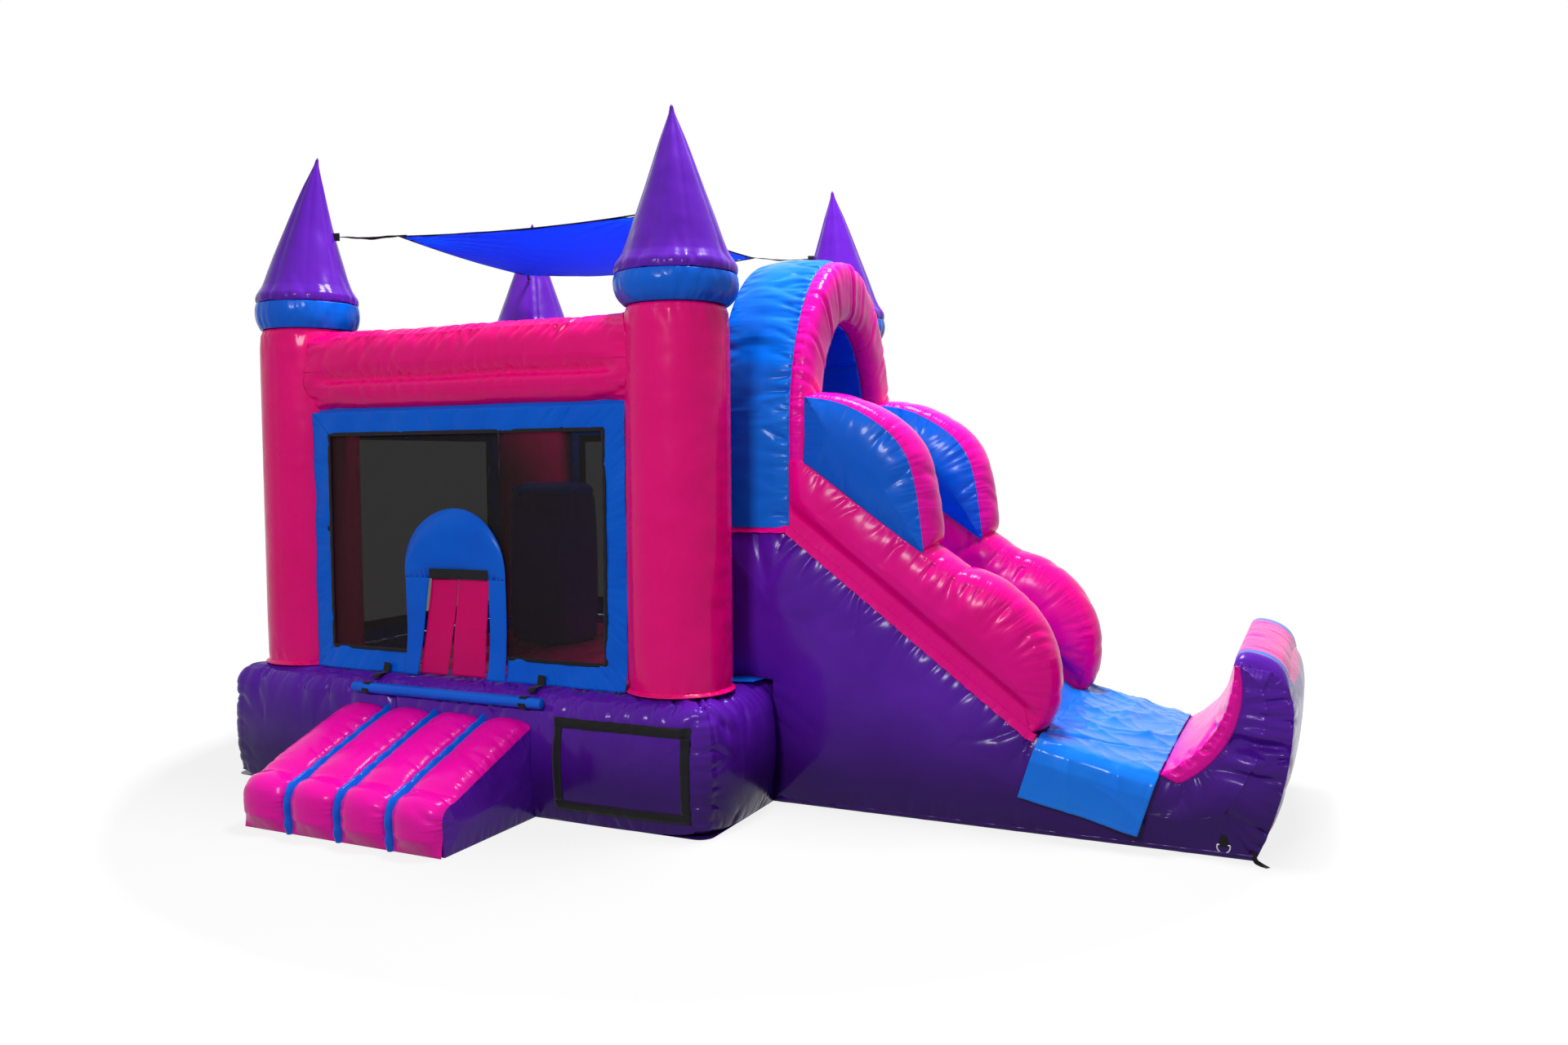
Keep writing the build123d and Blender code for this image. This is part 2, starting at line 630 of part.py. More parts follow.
def end_wall_inner(push):
    """The curved inner face of the end wall, moved outwards by push."""
    foot = (BED_END_X + GAP + push, BED_END_Z - END_PAD_TOE * push)
    crest = (END_CREST_X + push, END_TOP)
    middle = ((foot[0] + crest[0]) / 2 + END_PAD_BOW, (foot[1] + crest[1]) / 2 - END_PAD_BOW)
    return foot, middle, crest


def end_wall():
    side = SLIDE_HALF
    foot, middle, crest = end_wall_inner(END_PAD + GAP)
    x0 = BED_END_X + GAP
    belly, brow = (END_X, END_BELLY_Z), (END_CREST_X + END_CREST_W, END_TOP)
    lean = END_X - END_FOOT_X
    shell = outline(
        Line((x0, 0), (END_FOOT_X, 0)),
        ThreePointArc((END_FOOT_X, 0), (END_X - lean / 4, END_BELLY_Z / 2), belly),
        ThreePointArc(belly, (END_X - lean / 5, (END_BELLY_Z + END_TOP) / 2), brow),
        Line(brow, crest),
        ThreePointArc(crest, middle, foot),
        Line(foot, (x0, foot[1])),
        Line((x0, foot[1]), (x0, 0)),
    )
    save("end_wall", chamber(along_y, shell, -side, side))
    inner, outer = end_wall_inner(0), end_wall_inner(END_PAD)
    corner = (inner[0][0], outer[0][1])
    lining = outline(
        ThreePointArc(*inner),
        Line(inner[2], outer[2]),
        ThreePointArc(*reversed(outer)),
        Line(outer[0], corner),
        Line(corner, inner[0]),
    )
    save("end_wall_lining", chamber(along_y, lining, -side, side))


def rail_top(x):
    """Height of the straight top of a rail."""
    start_x, start_z = RING_X1, DECK_Z + RAIL_START_H
    return start_z + (RAIL_SHOULDER_Z - start_z) * (x - start_x) / (RAIL_SHOULDER_X - start_x)


def near_rail():
    """The long side cushion of the slide, with a rounded nose."""
    start = DECK_END + GAP
    top = DECK_Z + RAIL_START_H
    head, toe = (start, slope_z(start) + GAP), (SLOPE_END_X, SLOPE_END_Z + GAP)
    shoulder = (RAIL_SHOULDER_X, RAIL_SHOULDER_Z)
    face = outline(
        Line(head, toe),
        ThreePointArc(toe, (RAIL_NOSE_X, RAIL_NOSE_Z), shoulder),
        Line(shoulder, (RING_X1, top)),
        Line((RING_X1, top), (start, top)),
        Line((start, top), head),
    )
    return chamber(along_y, face, -SLIDE_HALF, -SLIDE_HALF + RAIL_W)


def near_wing():
    """The tall wing above the start of the rail."""
    start = RING_X1 + GAP
    foot = rail_top(start) + 2 * GAP
    tip = (WING_TIP_X, rail_top(WING_TIP_X) + 2 * GAP)
    face = outline(
        Line((start, foot), tip),
        ThreePointArc(tip, (WING_BOW_X, WING_BOW_Z), (start, WING_TOP)),
        Line((start, WING_TOP), (start, foot)),
    )
    return chamber(along_y, face, -SLIDE_HALF, -SLIDE_HALF + RAIL_W)


def slide_sides():
    rail, wing = near_rail(), near_wing()
    save("slide_rail_near", rail)
    save("slide_rail_far", mirror(rail, Plane.XZ))
    save("side_wing_near", wing)
    save("side_wing_far", mirror(wing, Plane.XZ))


def slide_cover():
    """A loose vinyl cover: down the lane, over the landing and over both of its sides."""
    lane_half = SLIDE_HALF - RAIL_W - 2 * SHEET
    wide = SLIDE_HALF + GAP + COVER_T
    start, turn, end = DECK_END + COVER_START, SLOPE_END_X + COVER_TURN, BED_END_X
    lift = 2 * GAP

    def strip(x0, x1):
        bends = [x for x in (SLOPE_END_X,) if x0 < x < x1]
        run = [x0, *bends, x1]
        lower = [(x, slope_z(x) + lift) for x in run]
        upper = [(x, slope_z(x) + lift + COVER_T) for x in reversed(run)]
        return polygon(*lower, *upper)

    lane = along_y(strip(start, turn), -lane_half, lane_half)
    landing = along_y(strip(turn, end), -wide, wide)
    skew = -COVER_SKEW * COVER_DROP
    side = polygon(
        (turn, slope_z(turn) + lift + COVER_T),
        (end, slope_z(end) + lift + COVER_T),
        (end + skew, slope_z(end) - COVER_DROP),
        (turn + skew, slope_z(turn) - COVER_DROP),
    )
    near = along_y(side, -wide, -wide + COVER_T)
    save("slide_cover", lane + landing + near + mirror(near, Plane.XZ))


# ================================================================ arch
def arch_cell(i):
    """One cell between two cross seams of the arch, in (Y, Z)."""
    step = HALF_TURN / ARCH_CELLS
    centre, turn = (0, SPRING_Z), {"start_angle": i * step, "arc_size": step}
    outer = EllipticalCenterArc(centre, ARCH_HALF, ARCH_RISE, **turn)
    inner = EllipticalCenterArc(centre, PASS_HALF, PASS_RISE, **turn)
    return outline(outer, Line(outer @ 1, inner @ 1), inner, Line(inner @ 0, outer @ 0))


def cell_space(i):
    """The straight-sided air space of one cell."""
    step = HALF_TURN / ARCH_CELLS
    a0 = radians(i * step + CELL_SEAM)
    a1 = radians((i + 1) * step - CELL_SEAM)
    half, rise = ARCH_HALF - SKIN, ARCH_RISE - SKIN
    low, high = PASS_HALF + CELL_WALL, PASS_RISE + CELL_WALL
    return polygon(
        (low * cos(a0), SPRING_Z + high * sin(a0)),
        (half * cos(a0), SPRING_Z + rise * sin(a0)),
        (half * cos(a1), SPRING_Z + rise * sin(a1)),
        (low * cos(a1), SPRING_Z + high * sin(a1)),
    )


def arch_row(foot, x0, x1):
    """One arch that stands on the height foot: the cells of its curved top on two legs."""
    a0, a1 = x0 + SKIN, x1 - SKIN
    cells = [along_x(arch_cell(i), x0, x1) - along_x(cell_space(i), a0, a1) for i in range(ARCH_CELLS)]
    leg = box(x0, x1, PASS_HALF, ARCH_HALF, foot, SPRING_Z)
    leg -= box(a0, a1, PASS_HALF + SKIN, ARCH_HALF - SKIN, foot + SKIN, SPRING_Z - SKIN)
    return [leg, *cells, mirror(leg, Plane.XZ)]


def arch():
    save("arch_band", *arch_row(DECK_Z, ARCH_X0, DECK_END))
    # the padded ring in front of the band stands on the rails
    save("arch_ring", *arch_row(DECK_Z + RAIL_START_H + GAP, DECK_END + GAP, RING_X1))


# ================================================================ inside
def obstacle():
    """A column that stands on the floor, under a rounded cap."""
    plan = Pos(COLUMN_X, COLUMN_Y) * RectangleRounded(COLUMN_W, COLUMN_D, COLUMN_ROUND)
    foot = FLOOR_H + GAP
    head = foot + COLUMN_H
    column = chamber(along_z, plan, foot, head)
    cap = along_z(plan, head + GAP, head + COLUMN_CAP)
    cap = fillet(cap.faces().sort_by(Axis.Z)[-1].edges(), CAP_ROUND)
    core = along_z(offset(plan, amount=-COLUMN_CAP), head + GAP + SKIN, head + COLUMN_CAP - SKIN)
    save("popup_column", column, cap - core)


def climb():
    """A steep padded climb from the jump floor to the deck, with rolled footholds."""
    x1, foot = BASE_X - BEAM_W - GAP, FLOOR_H + GAP
    slope = polygon((CLIMB_X0, foot), (x1, foot), (x1, DECK_Z), (x1 - CLIMB_LIP, DECK_Z))
    save("climb_ramp", chamber(along_y, slope, -CLIMB_HALF, CLIMB_HALF))
    run, rise = x1 - CLIMB_LIP - CLIMB_X0, DECK_Z - foot
    angle = atan2(rise, run)
    half_round = Circle(HOLD_R) & (Pos(0, HOLD_R) * Rectangle(2 * HOLD_R, 2 * HOLD_R))
    holds = []
    for i in range(HOLD_COUNT):
        t = (i + 1) / (HOLD_COUNT + 1)
        x = CLIMB_X0 + run * t - GAP * sin(angle)
        z = foot + rise * t + GAP * cos(angle)
        holds.append(along_y(Pos(x, z) * Rot(0, 0, degrees(angle)) * half_round, -HOLD_HALF, HOLD_HALF))
    save("climb_holds", *holds)


# ================================================================ sail
def sail_edge(a, b):
    """A hem that curves in between two corners."""
    mid = ((a[0] + b[0]) / 2, (a[1] + b[1]) / 2)
    run, across = (b[0] - a[0], b[1] - a[1]), sqrt((b[0] - a[0]) ** 2 + (b[1] - a[1]) ** 2)
    return ThreePointArc(a, (mid[0] - run[1] / across * SAIL_SAG, mid[1] + run[0] / across * SAIL_SAG), b)


def sail():
    hems = [sail_edge(SAIL_CORNERS[i], SAIL_CORNERS[(i + 1) % 4]) for i in range(4)]
    save("canopy", along_z(outline(*hems), SAIL_Z, SAIL_Z + SAIL_T))


def sail_straps():
    """A strap from each corner of the sail to a tab on the spire beside it."""
    straps = []
    for (x, y), corner in zip(SAIL_CORNERS, ("front_left", "front_right", "back_right", "back_left")):
        px, py = post_axis(corner)
        length = sqrt((px - x) ** 2 + (py - y) ** 2)
        turn = Pos(x, y, SAIL_Z + SAIL_T + GAP) * Rot(0, 0, degrees(atan2(py - y, px - x)))
        keep_out = spire_place(corner) * spire_body(-GAP)
        band = box(-SAIL_STRAP_LAP, length, -SAIL_STRAP_W / 2, SAIL_STRAP_W / 2, 0, WEBBING)
        strap = turn * band - keep_out
        inner = min(strap.solids(), key=lambda s: abs(s.center().X - x) + abs(s.center().Y - y))
        tab = turn * box(0, length, -TAB_W / 2, TAB_W / 2, -TAB_H / 2, TAB_H / 2)
        tab = (tab & (spire_place(corner) * spire_body(-GAP - TAB_T))) - keep_out
        near = min(tab.solids(), key=lambda s: abs(s.center().X - x) + abs(s.center().Y - y))
        straps.append(inner + near)
    save("canopy_straps", *straps)


# ================================================================ anchors
def ring_patch():
    """A webbing patch on a wall whose outer side is the plane Y = 0, facing -Y."""
    axis_y = -(GAP + WEBBING + GAP + RING_WIRE_R)
    sleeve_r = RING_WIRE_R + GAP + WEBBING
    sleeve = Pos(0, axis_y, RING_Z) * Rot(0, 90, 0) * Cylinder(sleeve_r, LOOP_W)
    back = box(-LOOP_W / 2, LOOP_W / 2, -GAP - WEBBING, -GAP, RING_Z, RING_Z + PATCH_H)
    bar = Pos(0, axis_y, RING_Z) * Rot(0, 90, 0) * Cylinder(RING_WIRE_R + GAP, 2 * LOOP_W)
    keep = box(-LOOP_W, LOOP_W, -4 * sleeve_r, -GAP, 0, RING_Z + PATCH_H)
    return ((sleeve & keep) + back) - bar


def d_ring():
    """A steel D: a straight bar in the patch and a bow that hangs below it."""
    axis_y = -(GAP + WEBBING + GAP + RING_WIRE_R)
    half = RING_W / 2
    bar = Rot(0, 90, 0) * Cylinder(RING_WIRE_R, RING_W)
    arc = ThreePointArc((half, 0, 0), (0, 0, -RING_DROP), (-half, 0, 0))
    bend = sweep(Plane(origin=arc @ 0, z_dir=arc % 0) * Circle(RING_WIRE_R), path=arc)
    ends = [Pos(s * half, 0, 0) * Sphere(RING_WIRE_R) for s in (-1, 1)]
    return Pos(0, axis_y, RING_Z) * (bar + bend + ends[0] + ends[1])


def anchors():
    """Tie-down points on the left of the base and on the two sides of the slide's end."""
    places = {
        "base_front": Pos(-BASE_X, -BASE_Y + BEAM_W - RING_INSET, 0) * Rot(0, 0, -90),
        "base_back": Pos(-BASE_X, BASE_Y - BEAM_W + RING_INSET, 0) * Rot(0, 0, -90),
        "slide_near": Pos(END_FOOT_X - RING_INSET, -SLIDE_HALF, 0),
        "slide_far": Pos(END_FOOT_X - RING_INSET, SLIDE_HALF, 0) * Rot(0, 0, HALF_TURN),
    }
    patch, ring = ring_patch(), d_ring()
    save("anchor_patches", *[place * patch for place in places.values()])
    for name, place in places.items():
        save(f"anchor_ring_{name}", place * ring)


# ================================================================ back of the base
def air_inlet():
    """The sleeve that a blower's nozzle is tied into."""
    sleeve = Cylinder(INLET_R + INLET_T, INLET_LENGTH) - Cylinder(INLET_R, INLET_LENGTH)
    y = BASE_Y + GAP + INLET_LENGTH / 2
    save("air_inlet", Pos(INLET_X, y, INLET_Z) * Rot(90, 0, 0) * sleeve)


def zip_fastener():
    """The zip that is opened to let the air out."""
    back, half = BASE_Y + GAP, ZIP_TAPE / 2
    tape = box(ZIP_X0, ZIP_X0 + ZIP_LENGTH, back, back + ZIP_TAPE_T, ZIP_Z - half, ZIP_Z + half)
    save("deflation_zip", tape)
    wide, tall, deep = ZIP_BODY
    tag_w, tag_l, tag_t = ZIP_TAG
    face = back + ZIP_TAPE_T + GAP
    x = ZIP_X0 + wide
    body = box(x, x + wide, face, face + deep, ZIP_Z - tall / 2, ZIP_Z + tall / 2)
    tag_x = x + (wide - tag_w) / 2
    tag = box(tag_x, tag_x + tag_w, face + deep, face + deep + tag_t, ZIP_Z - tag_l, ZIP_Z + tall / 4)
    save("zip_slider", body + tag)


# ================================================================ build
base()
jump_floor()
posts()
collars()
spires()
top_tubes()
windows()
right_wall()
door()
flap("door_flap_left", FLAP_X[:2], FLAP_FOOT_X[:2])
flap("door_flap_right", FLAP_X[2:], FLAP_FOOT_X[2:])
step_bumper()
ramp()
banner_frame()
slide_bodies()
end_wall()
slide_sides()
slide_cover()
arch()
obstacle()
climb()
sail()
sail_straps()
anchors()
air_inlet()
zip_fastener()
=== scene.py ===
import math
import bpy
import numpy as np
from mathutils import Matrix, Vector


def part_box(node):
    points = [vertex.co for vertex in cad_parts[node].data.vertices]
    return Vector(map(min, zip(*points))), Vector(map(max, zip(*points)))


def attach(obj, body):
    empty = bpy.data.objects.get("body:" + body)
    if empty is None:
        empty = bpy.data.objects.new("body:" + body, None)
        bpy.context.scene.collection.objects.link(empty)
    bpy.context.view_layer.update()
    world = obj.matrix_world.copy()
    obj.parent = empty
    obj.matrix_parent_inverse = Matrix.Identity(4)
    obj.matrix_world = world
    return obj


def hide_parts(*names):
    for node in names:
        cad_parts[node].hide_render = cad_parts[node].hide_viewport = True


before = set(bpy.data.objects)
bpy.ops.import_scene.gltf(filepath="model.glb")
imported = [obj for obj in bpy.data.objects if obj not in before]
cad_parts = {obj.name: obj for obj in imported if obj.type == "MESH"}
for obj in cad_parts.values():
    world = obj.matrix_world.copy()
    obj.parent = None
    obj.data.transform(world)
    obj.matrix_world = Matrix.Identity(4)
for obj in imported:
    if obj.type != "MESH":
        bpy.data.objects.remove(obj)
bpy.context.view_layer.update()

# An inflatable bounce house with a slide. Each chamber is sewn from strips of vinyl: a grid is laid in place
# strip by strip, swollen between its seams and puckered along them, and the strips are then joined.
CELL = .014     # size of a grid cell on the vinyl
AMBIENT = .33                           # light that comes from all round
RIM = 1e-6                              # share of a strip that counts as its very edge
SHEET = .004                            # thickness of the single sheets, thicker than real ones
WEBBING = .050
NO_SEAM = .5                            # a distance to a seam at which no crease shows
PI = math.pi


# ================================================================ camera, light and floor
def camera():
    yaw, pitch, roll = -.431, -.052, -.007
    ahead = Vector((math.sin(yaw) * math.cos(pitch), math.cos(yaw) * math.cos(pitch), math.sin(pitch)))
    right = Vector((math.cos(yaw), -math.sin(yaw), 0))
    up = right.cross(ahead)
    turned_right = math.cos(roll) * right + math.sin(roll) * up
    turned_up = -math.sin(roll) * right + math.cos(roll) * up
    bpy.ops.object.camera_add()
    cam = bpy.context.object
    cam.data.sensor_width = 36
    cam.data.lens = 27.11
    place = Matrix((turned_right, turned_up, -ahead)).transposed().to_4x4()
    place.translation = (4.749, -7.067, 2.032)
    cam.matrix_world = place
    bpy.context.scene.camera = cam


def lamp(name, place, aim, size, watts):
    bpy.ops.object.light_add(type="AREA", location=place)
    light = bpy.context.object
    light.name = name
    light.data.shape = "RECTANGLE"
    light.data.size, light.data.size_y = size
    light.data.energy = watts
    light.rotation_euler = (Vector(aim) - Vector(place)).to_track_quat("-Z", "Y").to_euler()


def seen_directly(tree):
    """1 where the camera, a reflection or a view through something meets the surface, and 0 for other light."""
    path = add(tree, "ShaderNodeLightPath").outputs
    either = maths(tree, "MAXIMUM", path["Is Camera Ray"], path["Is Glossy Ray"])
    return maths(tree, "MAXIMUM", either, path["Is Transmission Ray"])


def studio():
    scene = bpy.context.scene
    scene.view_settings.view_transform = "Standard"
    world = bpy.data.worlds.new("studio") if scene.world is None else scene.world
    scene.world = world
    world.use_nodes = True
    tree = world.node_tree
    tree.nodes.clear()
    strength = maths(tree, "MULTIPLY_ADD", seen_directly(tree), 1 - AMBIENT, AMBIENT)
    back = add(tree, "ShaderNodeBackground", Color=(1, 1, 1, 1), Strength=strength)
    add(tree, "ShaderNodeOutputWorld", Surface=back.outputs[0])
    lamp("sky", (2.4, .2, 8.6), (1.6, 0, 0), (2.4, 1.7), 760)
    lamp("front", (2.5, -10.5, 6.0), (1.2, 0, 1), (1.8, 1.3), 420)
    bpy.ops.mesh.primitive_plane_add(size=90, location=(1, 0, -.003))
    floor = bpy.context.object
    floor.name = "floor"
    mat, tree, _ = material("pale_floor")
    tree.nodes.clear()
    # the floor keeps the shadow near the house and turns white further off
    here = add(tree, "ShaderNodeTexCoord").outputs["Object"]
    away = add(tree, "ShaderNodeVectorMath", {"operation": "LENGTH"}, i0=here).outputs["Value"]
    far = maths(tree, "MULTIPLY_ADD", away, .36, -1.30, clamp=True)
    share = maths(tree, "MULTIPLY", seen_directly(tree), maths(tree, "MULTIPLY_ADD", far, .68, .32))
    matt = add(tree, "ShaderNodeBsdfDiffuse", Color=(.17, .17, .172, 1))
    glow = add(tree, "ShaderNodeEmission", Strength=maths(tree, "MULTIPLY_ADD", far, -1.60, 2.60))
    mix = add(tree, "ShaderNodeMixShader", i0=share, i1=matt.outputs[0], i2=glow.outputs[0])
    add(tree, "ShaderNodeOutputMaterial", Surface=mix.outputs[0])
    floor.data.materials.append(mat)


# ================================================================ materials
def material(name):
    """A new material, its node tree and its shader."""
    mat = bpy.data.materials.new(name)
    mat.use_nodes = True
    return mat, mat.node_tree, mat.node_tree.nodes["Principled BSDF"]


def feed(tree, node, **values):
    """Gives a node's inputs their values or links. i0 is its first input, and an underscore is a blank."""
    for key, value in values.items():
        numbered = key[0] == "i" and key[1:].isdigit()
        socket = node.inputs[int(key[1:]) if numbered else key.replace("_", " ")]
        if isinstance(value, bpy.types.NodeSocket):
            tree.links.new(value, socket)
        else:
            socket.default_value = value
    return node


def add(tree, kind, settings=(), **values):
    """A node, with its settings and the values or links of its inputs."""
    node = tree.nodes.new(kind)
    for key, value in dict(settings).items():
        setattr(node, key, value)
    return feed(tree, node, **values)


def maths(tree, operation, a, b=0.0, c=0.0, clamp=False):
    node = add(tree, "ShaderNodeMath", {"operation": operation, "use_clamp": clamp}, i0=a, i1=b, i2=c)
    return node.outputs[0]


def noise(tree, where, scale, detail, rough=.5, warp=.0):
    return add(tree, "ShaderNodeTexNoise", Vector=where, Scale=scale, Detail=detail, Roughness=rough,
               Distortion=warp).outputs["Fac"]


def blend(tree, share, a, b):
    return add(tree, "ShaderNodeMix", {"data_type": "RGBA"}, i0=share, i6=a, i7=b).outputs[2]


def scaled(tree, colour, by):
    return add(tree, "ShaderNodeVectorMath", {"operation": "SCALE"}, i0=colour, Scale=by).outputs[0]


def group(name, inputs, outputs):
    """A node group, what comes into it and the node that it gives its results to."""
    tree = bpy.data.node_groups.new(name, "ShaderNodeTree")
    for key, value in inputs.items():
        kind = "NodeSocketColor" if isinstance(value, tuple) else "NodeSocketFloat"
        tree.interface.new_socket(name=key, in_out="INPUT", socket_type=kind).default_value = value
    for key, kind in outputs.items():
        tree.interface.new_socket(name=key, in_out="OUTPUT", socket_type="NodeSocket" + kind)
    return tree, add(tree, "NodeGroupInput").outputs, add(tree, "NodeGroupOutput")


def vinyl_surface():
    """Coated vinyl: even colour with faint clouding, dusty near the ground, with fine creases at the seams and a
    cloth grain. Where asked, painted shade darkens the colour towards the ground."""
    white = (1, 1, 1, 1)
    tree, given, out = group(
        "vinyl_surface",
        {"Colour": white, "Light Colour": white, "Dust": .2, "Creases": 1.0, "Roughness": .3, "Deepen": .0},
        {"Colour": "Color", "Roughness": "Float", "Normal": "Vector"})
    where = add(tree, "ShaderNodeTexCoord").outputs
    here, seam = where["Object"], where["UV"]
    tone = maths(tree, "MULTIPLY_ADD", noise(tree, here, 2.3, 3.0, .55), 1.5, -.45, clamp=True)
    colour = blend(tree, tone, given["Colour"], given["Light Colour"])
    height = add(tree, "ShaderNodeSeparateXYZ", Vector=here).outputs["Z"]
    # painted shade: the colour is darkened towards the ground by the share given, to about a third at the foot and
    # not at all from about 0.7 m up
    painted_light_level = maths(tree, "MAXIMUM", maths(tree, "MULTIPLY_ADD", height, 1.25, .11, clamp=True), .36)
    lower = maths(tree, "SUBTRACT", painted_light_level, 1.0)
    colour = scaled(tree, colour, maths(tree, "MULTIPLY_ADD", lower, given["Deepen"], 1.0))
    low = maths(tree, "SUBTRACT", .30, height, clamp=True)
    dust = maths(tree, "MULTIPLY", low, noise(tree, here, 14.0, 5.0, .65))
    dust = maths(tree, "MULTIPLY", dust, given["Dust"], clamp=True)
    colour = blend(tree, dust, colour, (.34, .31, .30, 1))
    rough = maths(tree, "MULTIPLY_ADD", noise(tree, here, 5.5, 4.0, .6), .16, given["Roughness"])
    rough = maths(tree, "MULTIPLY_ADD", dust, .5, maths(tree, "SUBTRACT", rough, .08), clamp=True)
    # creases run away from the seam: U is the way along it and V the way off it, in metres
    stretch = add(tree, "ShaderNodeMapping", Vector=seam, Scale=(30, 3.2, 1)).outputs[0]
    lines = noise(tree, stretch, 1.0, 2.5, .5, .3)
    off = add(tree, "ShaderNodeSeparateXYZ", Vector=seam).outputs["Y"]
    near = maths(tree, "POWER", 2.718, maths(tree, "MULTIPLY", off, -17.0))
    creased = maths(tree, "MULTIPLY", maths(tree, "MULTIPLY", lines, near), given["Creases"])
    dents = maths(tree, "MULTIPLY", noise(tree, here, 3.4, 2.0), .022)
    relief = maths(tree, "MULTIPLY_ADD", creased, .012, dents)
    relief = maths(tree, "MULTIPLY_ADD", noise(tree, here, 420.0, 1.0), .00012, relief)
    bump = add(tree, "ShaderNodeBump", Height=relief, Strength=.9, Distance=1.0).outputs[0]
    feed(tree, out, Colour=colour, Roughness=rough, Normal=bump)
    return tree


# the last argument gives the share of painted shade, darker towards the ground
def vinyl(name, colour, light, rough=.28, dust=.16, creases=1.0, coat=.24, deepen=.0):
    mat, tree, shader = material(name)
    skin = add(tree, "ShaderNodeGroup", {"node_tree": SURFACE}, Colour=(*colour, 1), Light_Colour=(*light, 1),
               Dust=dust, Creases=creases, Roughness=rough, Deepen=deepen).outputs
    feed(tree, shader, Base_Color=skin["Colour"], Roughness=skin["Roughness"], Normal=skin["Normal"], IOR=1.36,
         Specular_IOR_Level=.10, Coat_Weight=coat, Coat_IOR=1.4, Coat_Roughness=.14)
    return mat


def weave():
    """A plain weave from two crossed bands."""
    tree, given, out = group("plain_weave", {"Colour": (1, 1, 1, 1), "Threads": 300.0, "Depth": .0004},
                             {"Colour": "Color", "Normal": "Vector", "Gaps": "Float"})
    here = add(tree, "ShaderNodeTexCoord").outputs["Object"]
    split = add(tree, "ShaderNodeSeparateXYZ", Vector=here).outputs
    sides = maths(tree, "ADD", split["X"], split["Y"])
    warp, weft = (maths(tree, "SINE", maths(tree, "MULTIPLY", way, given["Threads"]))
                  for way in (sides, split["Z"]))
    cross = maths(tree, "MULTIPLY", warp, weft)
    worn = maths(tree, "MULTIPLY_ADD", noise(tree, here, 18.0, 4.0), .5, .72)
    height = maths(tree, "MULTIPLY", cross, given["Depth"])
    feed(tree, out, Colour=scaled(tree, given["Colour"], maths(tree, "MULTIPLY_ADD", cross, .12, worn)),
         Normal=add(tree, "ShaderNodeBump", Height=height, Strength=.6, Distance=1.0).outputs[0],
         Gaps=maths(tree, "MULTIPLY_ADD", cross, .5, .5))
    return tree


def cloth(name, colour, threads, depth, rough, sheen=.0, closed=None, **more):
    """Woven cloth. closed is the share of it that isn't gaps between its threads, and None is all of it."""
    mat, tree, shader = material(name)
    woven = add(tree, "ShaderNodeGroup", {"node_tree": WEAVE}, Colour=(*colour, 1), Threads=threads,
                Depth=depth).outputs
    feed(tree, shader, Base_Color=woven["Colour"], Normal=woven["Normal"], Roughness=rough, Sheen_Weight=sheen,
         Specular_IOR_Level=.15, **more)
    if closed:
        feed(tree, shader, Alpha=maths(tree, "MULTIPLY_ADD", woven["Gaps"], .12, closed - .06, clamp=True))
    return mat


def steel(name, colour):
    mat, tree, shader = material(name)
    worn = noise(tree, add(tree, "ShaderNodeTexCoord").outputs["Object"], 90.0, 5.0)
    ramp = add(tree, "ShaderNodeValToRGB", Fac=worn)
    ramp.color_ramp.elements[0].color = (*[c * .55 for c in colour], 1)
    ramp.color_ramp.elements[1].color = (*colour, 1)
    feed(tree, shader, Base_Color=ramp.outputs[0], Metallic=1.0,
         Roughness=maths(tree, "MULTIPLY_ADD", worn, .35, .18))
    return mat


# ================================================================ paths and panels
def path(*spots):
    return np.array(spots, float)


def points(*coordinates):
    """Points in a plane or in space, from a column for each direction."""
    return np.stack(coordinates, 1)


def arc(a, b, c, count=40):
    """An arc from a through b to c."""
    (ax, ay), (bx, by), (cx, cy) = a, b, c
    aa, bb, cc = ax**2 + ay**2, bx**2 + by**2, cx**2 + cy**2
    d = 2 * (ax * (by - cy) + bx * (cy - ay) + cx * (ay - by))
    ux = (aa * (by - cy) + bb * (cy - ay) + cc * (ay - by)) / d
    uy = (aa * (cx - bx) + bb * (ax - cx) + cc * (bx - ax)) / d
    turn = [math.atan2(p[1] - uy, p[0] - ux) for p in (a, b, c)]
    sweep = (turn[2] - turn[0]) % (2 * PI)
    if (turn[1] - turn[0]) % (2 * PI) > sweep:
        sweep -= 2 * PI
    t = turn[0] + np.linspace(0, 1, count) * sweep
    r = math.hypot(ax - ux, ay - uy)
    return points(ux + r * np.cos(t), uy + r * np.sin(t))


def quad(a, b, c, d):
    """The edges of a panel with straight sides: low, right, top and left."""
    return path(a, b), path(b, c), path(d, c), path(a, d)


def length(line):
    return float(np.linalg.norm(np.diff(line, axis=0), axis=1).sum())


def eased(line, rounds=3):
    """A path with its corners cut round, and its ends kept."""
    for _ in range(rounds):
        a, b = line[:-1], line[1:]
        cut = np.stack([.75 * a + .25 * b, .25 * a + .75 * b], 1).reshape(-1, line.shape[1])
        line = np.concatenate([line[:1], cut[1:-1], line[-1:]])
    return line


def way_along(line):
    """How far along a path each of its points is."""
    return np.concatenate([[0], np.cumsum(np.linalg.norm(np.diff(line, axis=0), axis=1))])


def at(line, t):
    """The points at shares t of the way along a path."""
    way = way_along(line)
    t = np.clip(t, 0, 1) * way[-1]
    return points(*[np.interp(t, way, line[:, i]) for i in range(line.shape[1])])


def unit(ways):
    return ways / np.maximum(np.linalg.norm(ways, axis=1), 1e-9)[:, None]


def heading(line, t, over=.02):
    """The direction of a path, eased over a few centimetres."""
    ease = over / max(length(line), .001)
    return unit(at(line, t + ease) - at(line, t - ease))


def beside(line, t):
    """Points of a path in a plane, and the directions to the left of it."""
    ahead = heading(line, t)
    return at(line, t), points(-ahead[:, 1], ahead[:, 0])


def moved(spots, way, by):
    return spots + way * by[:, None]


def between(a, b, t):
    return a + (b - a) * t[:, None]


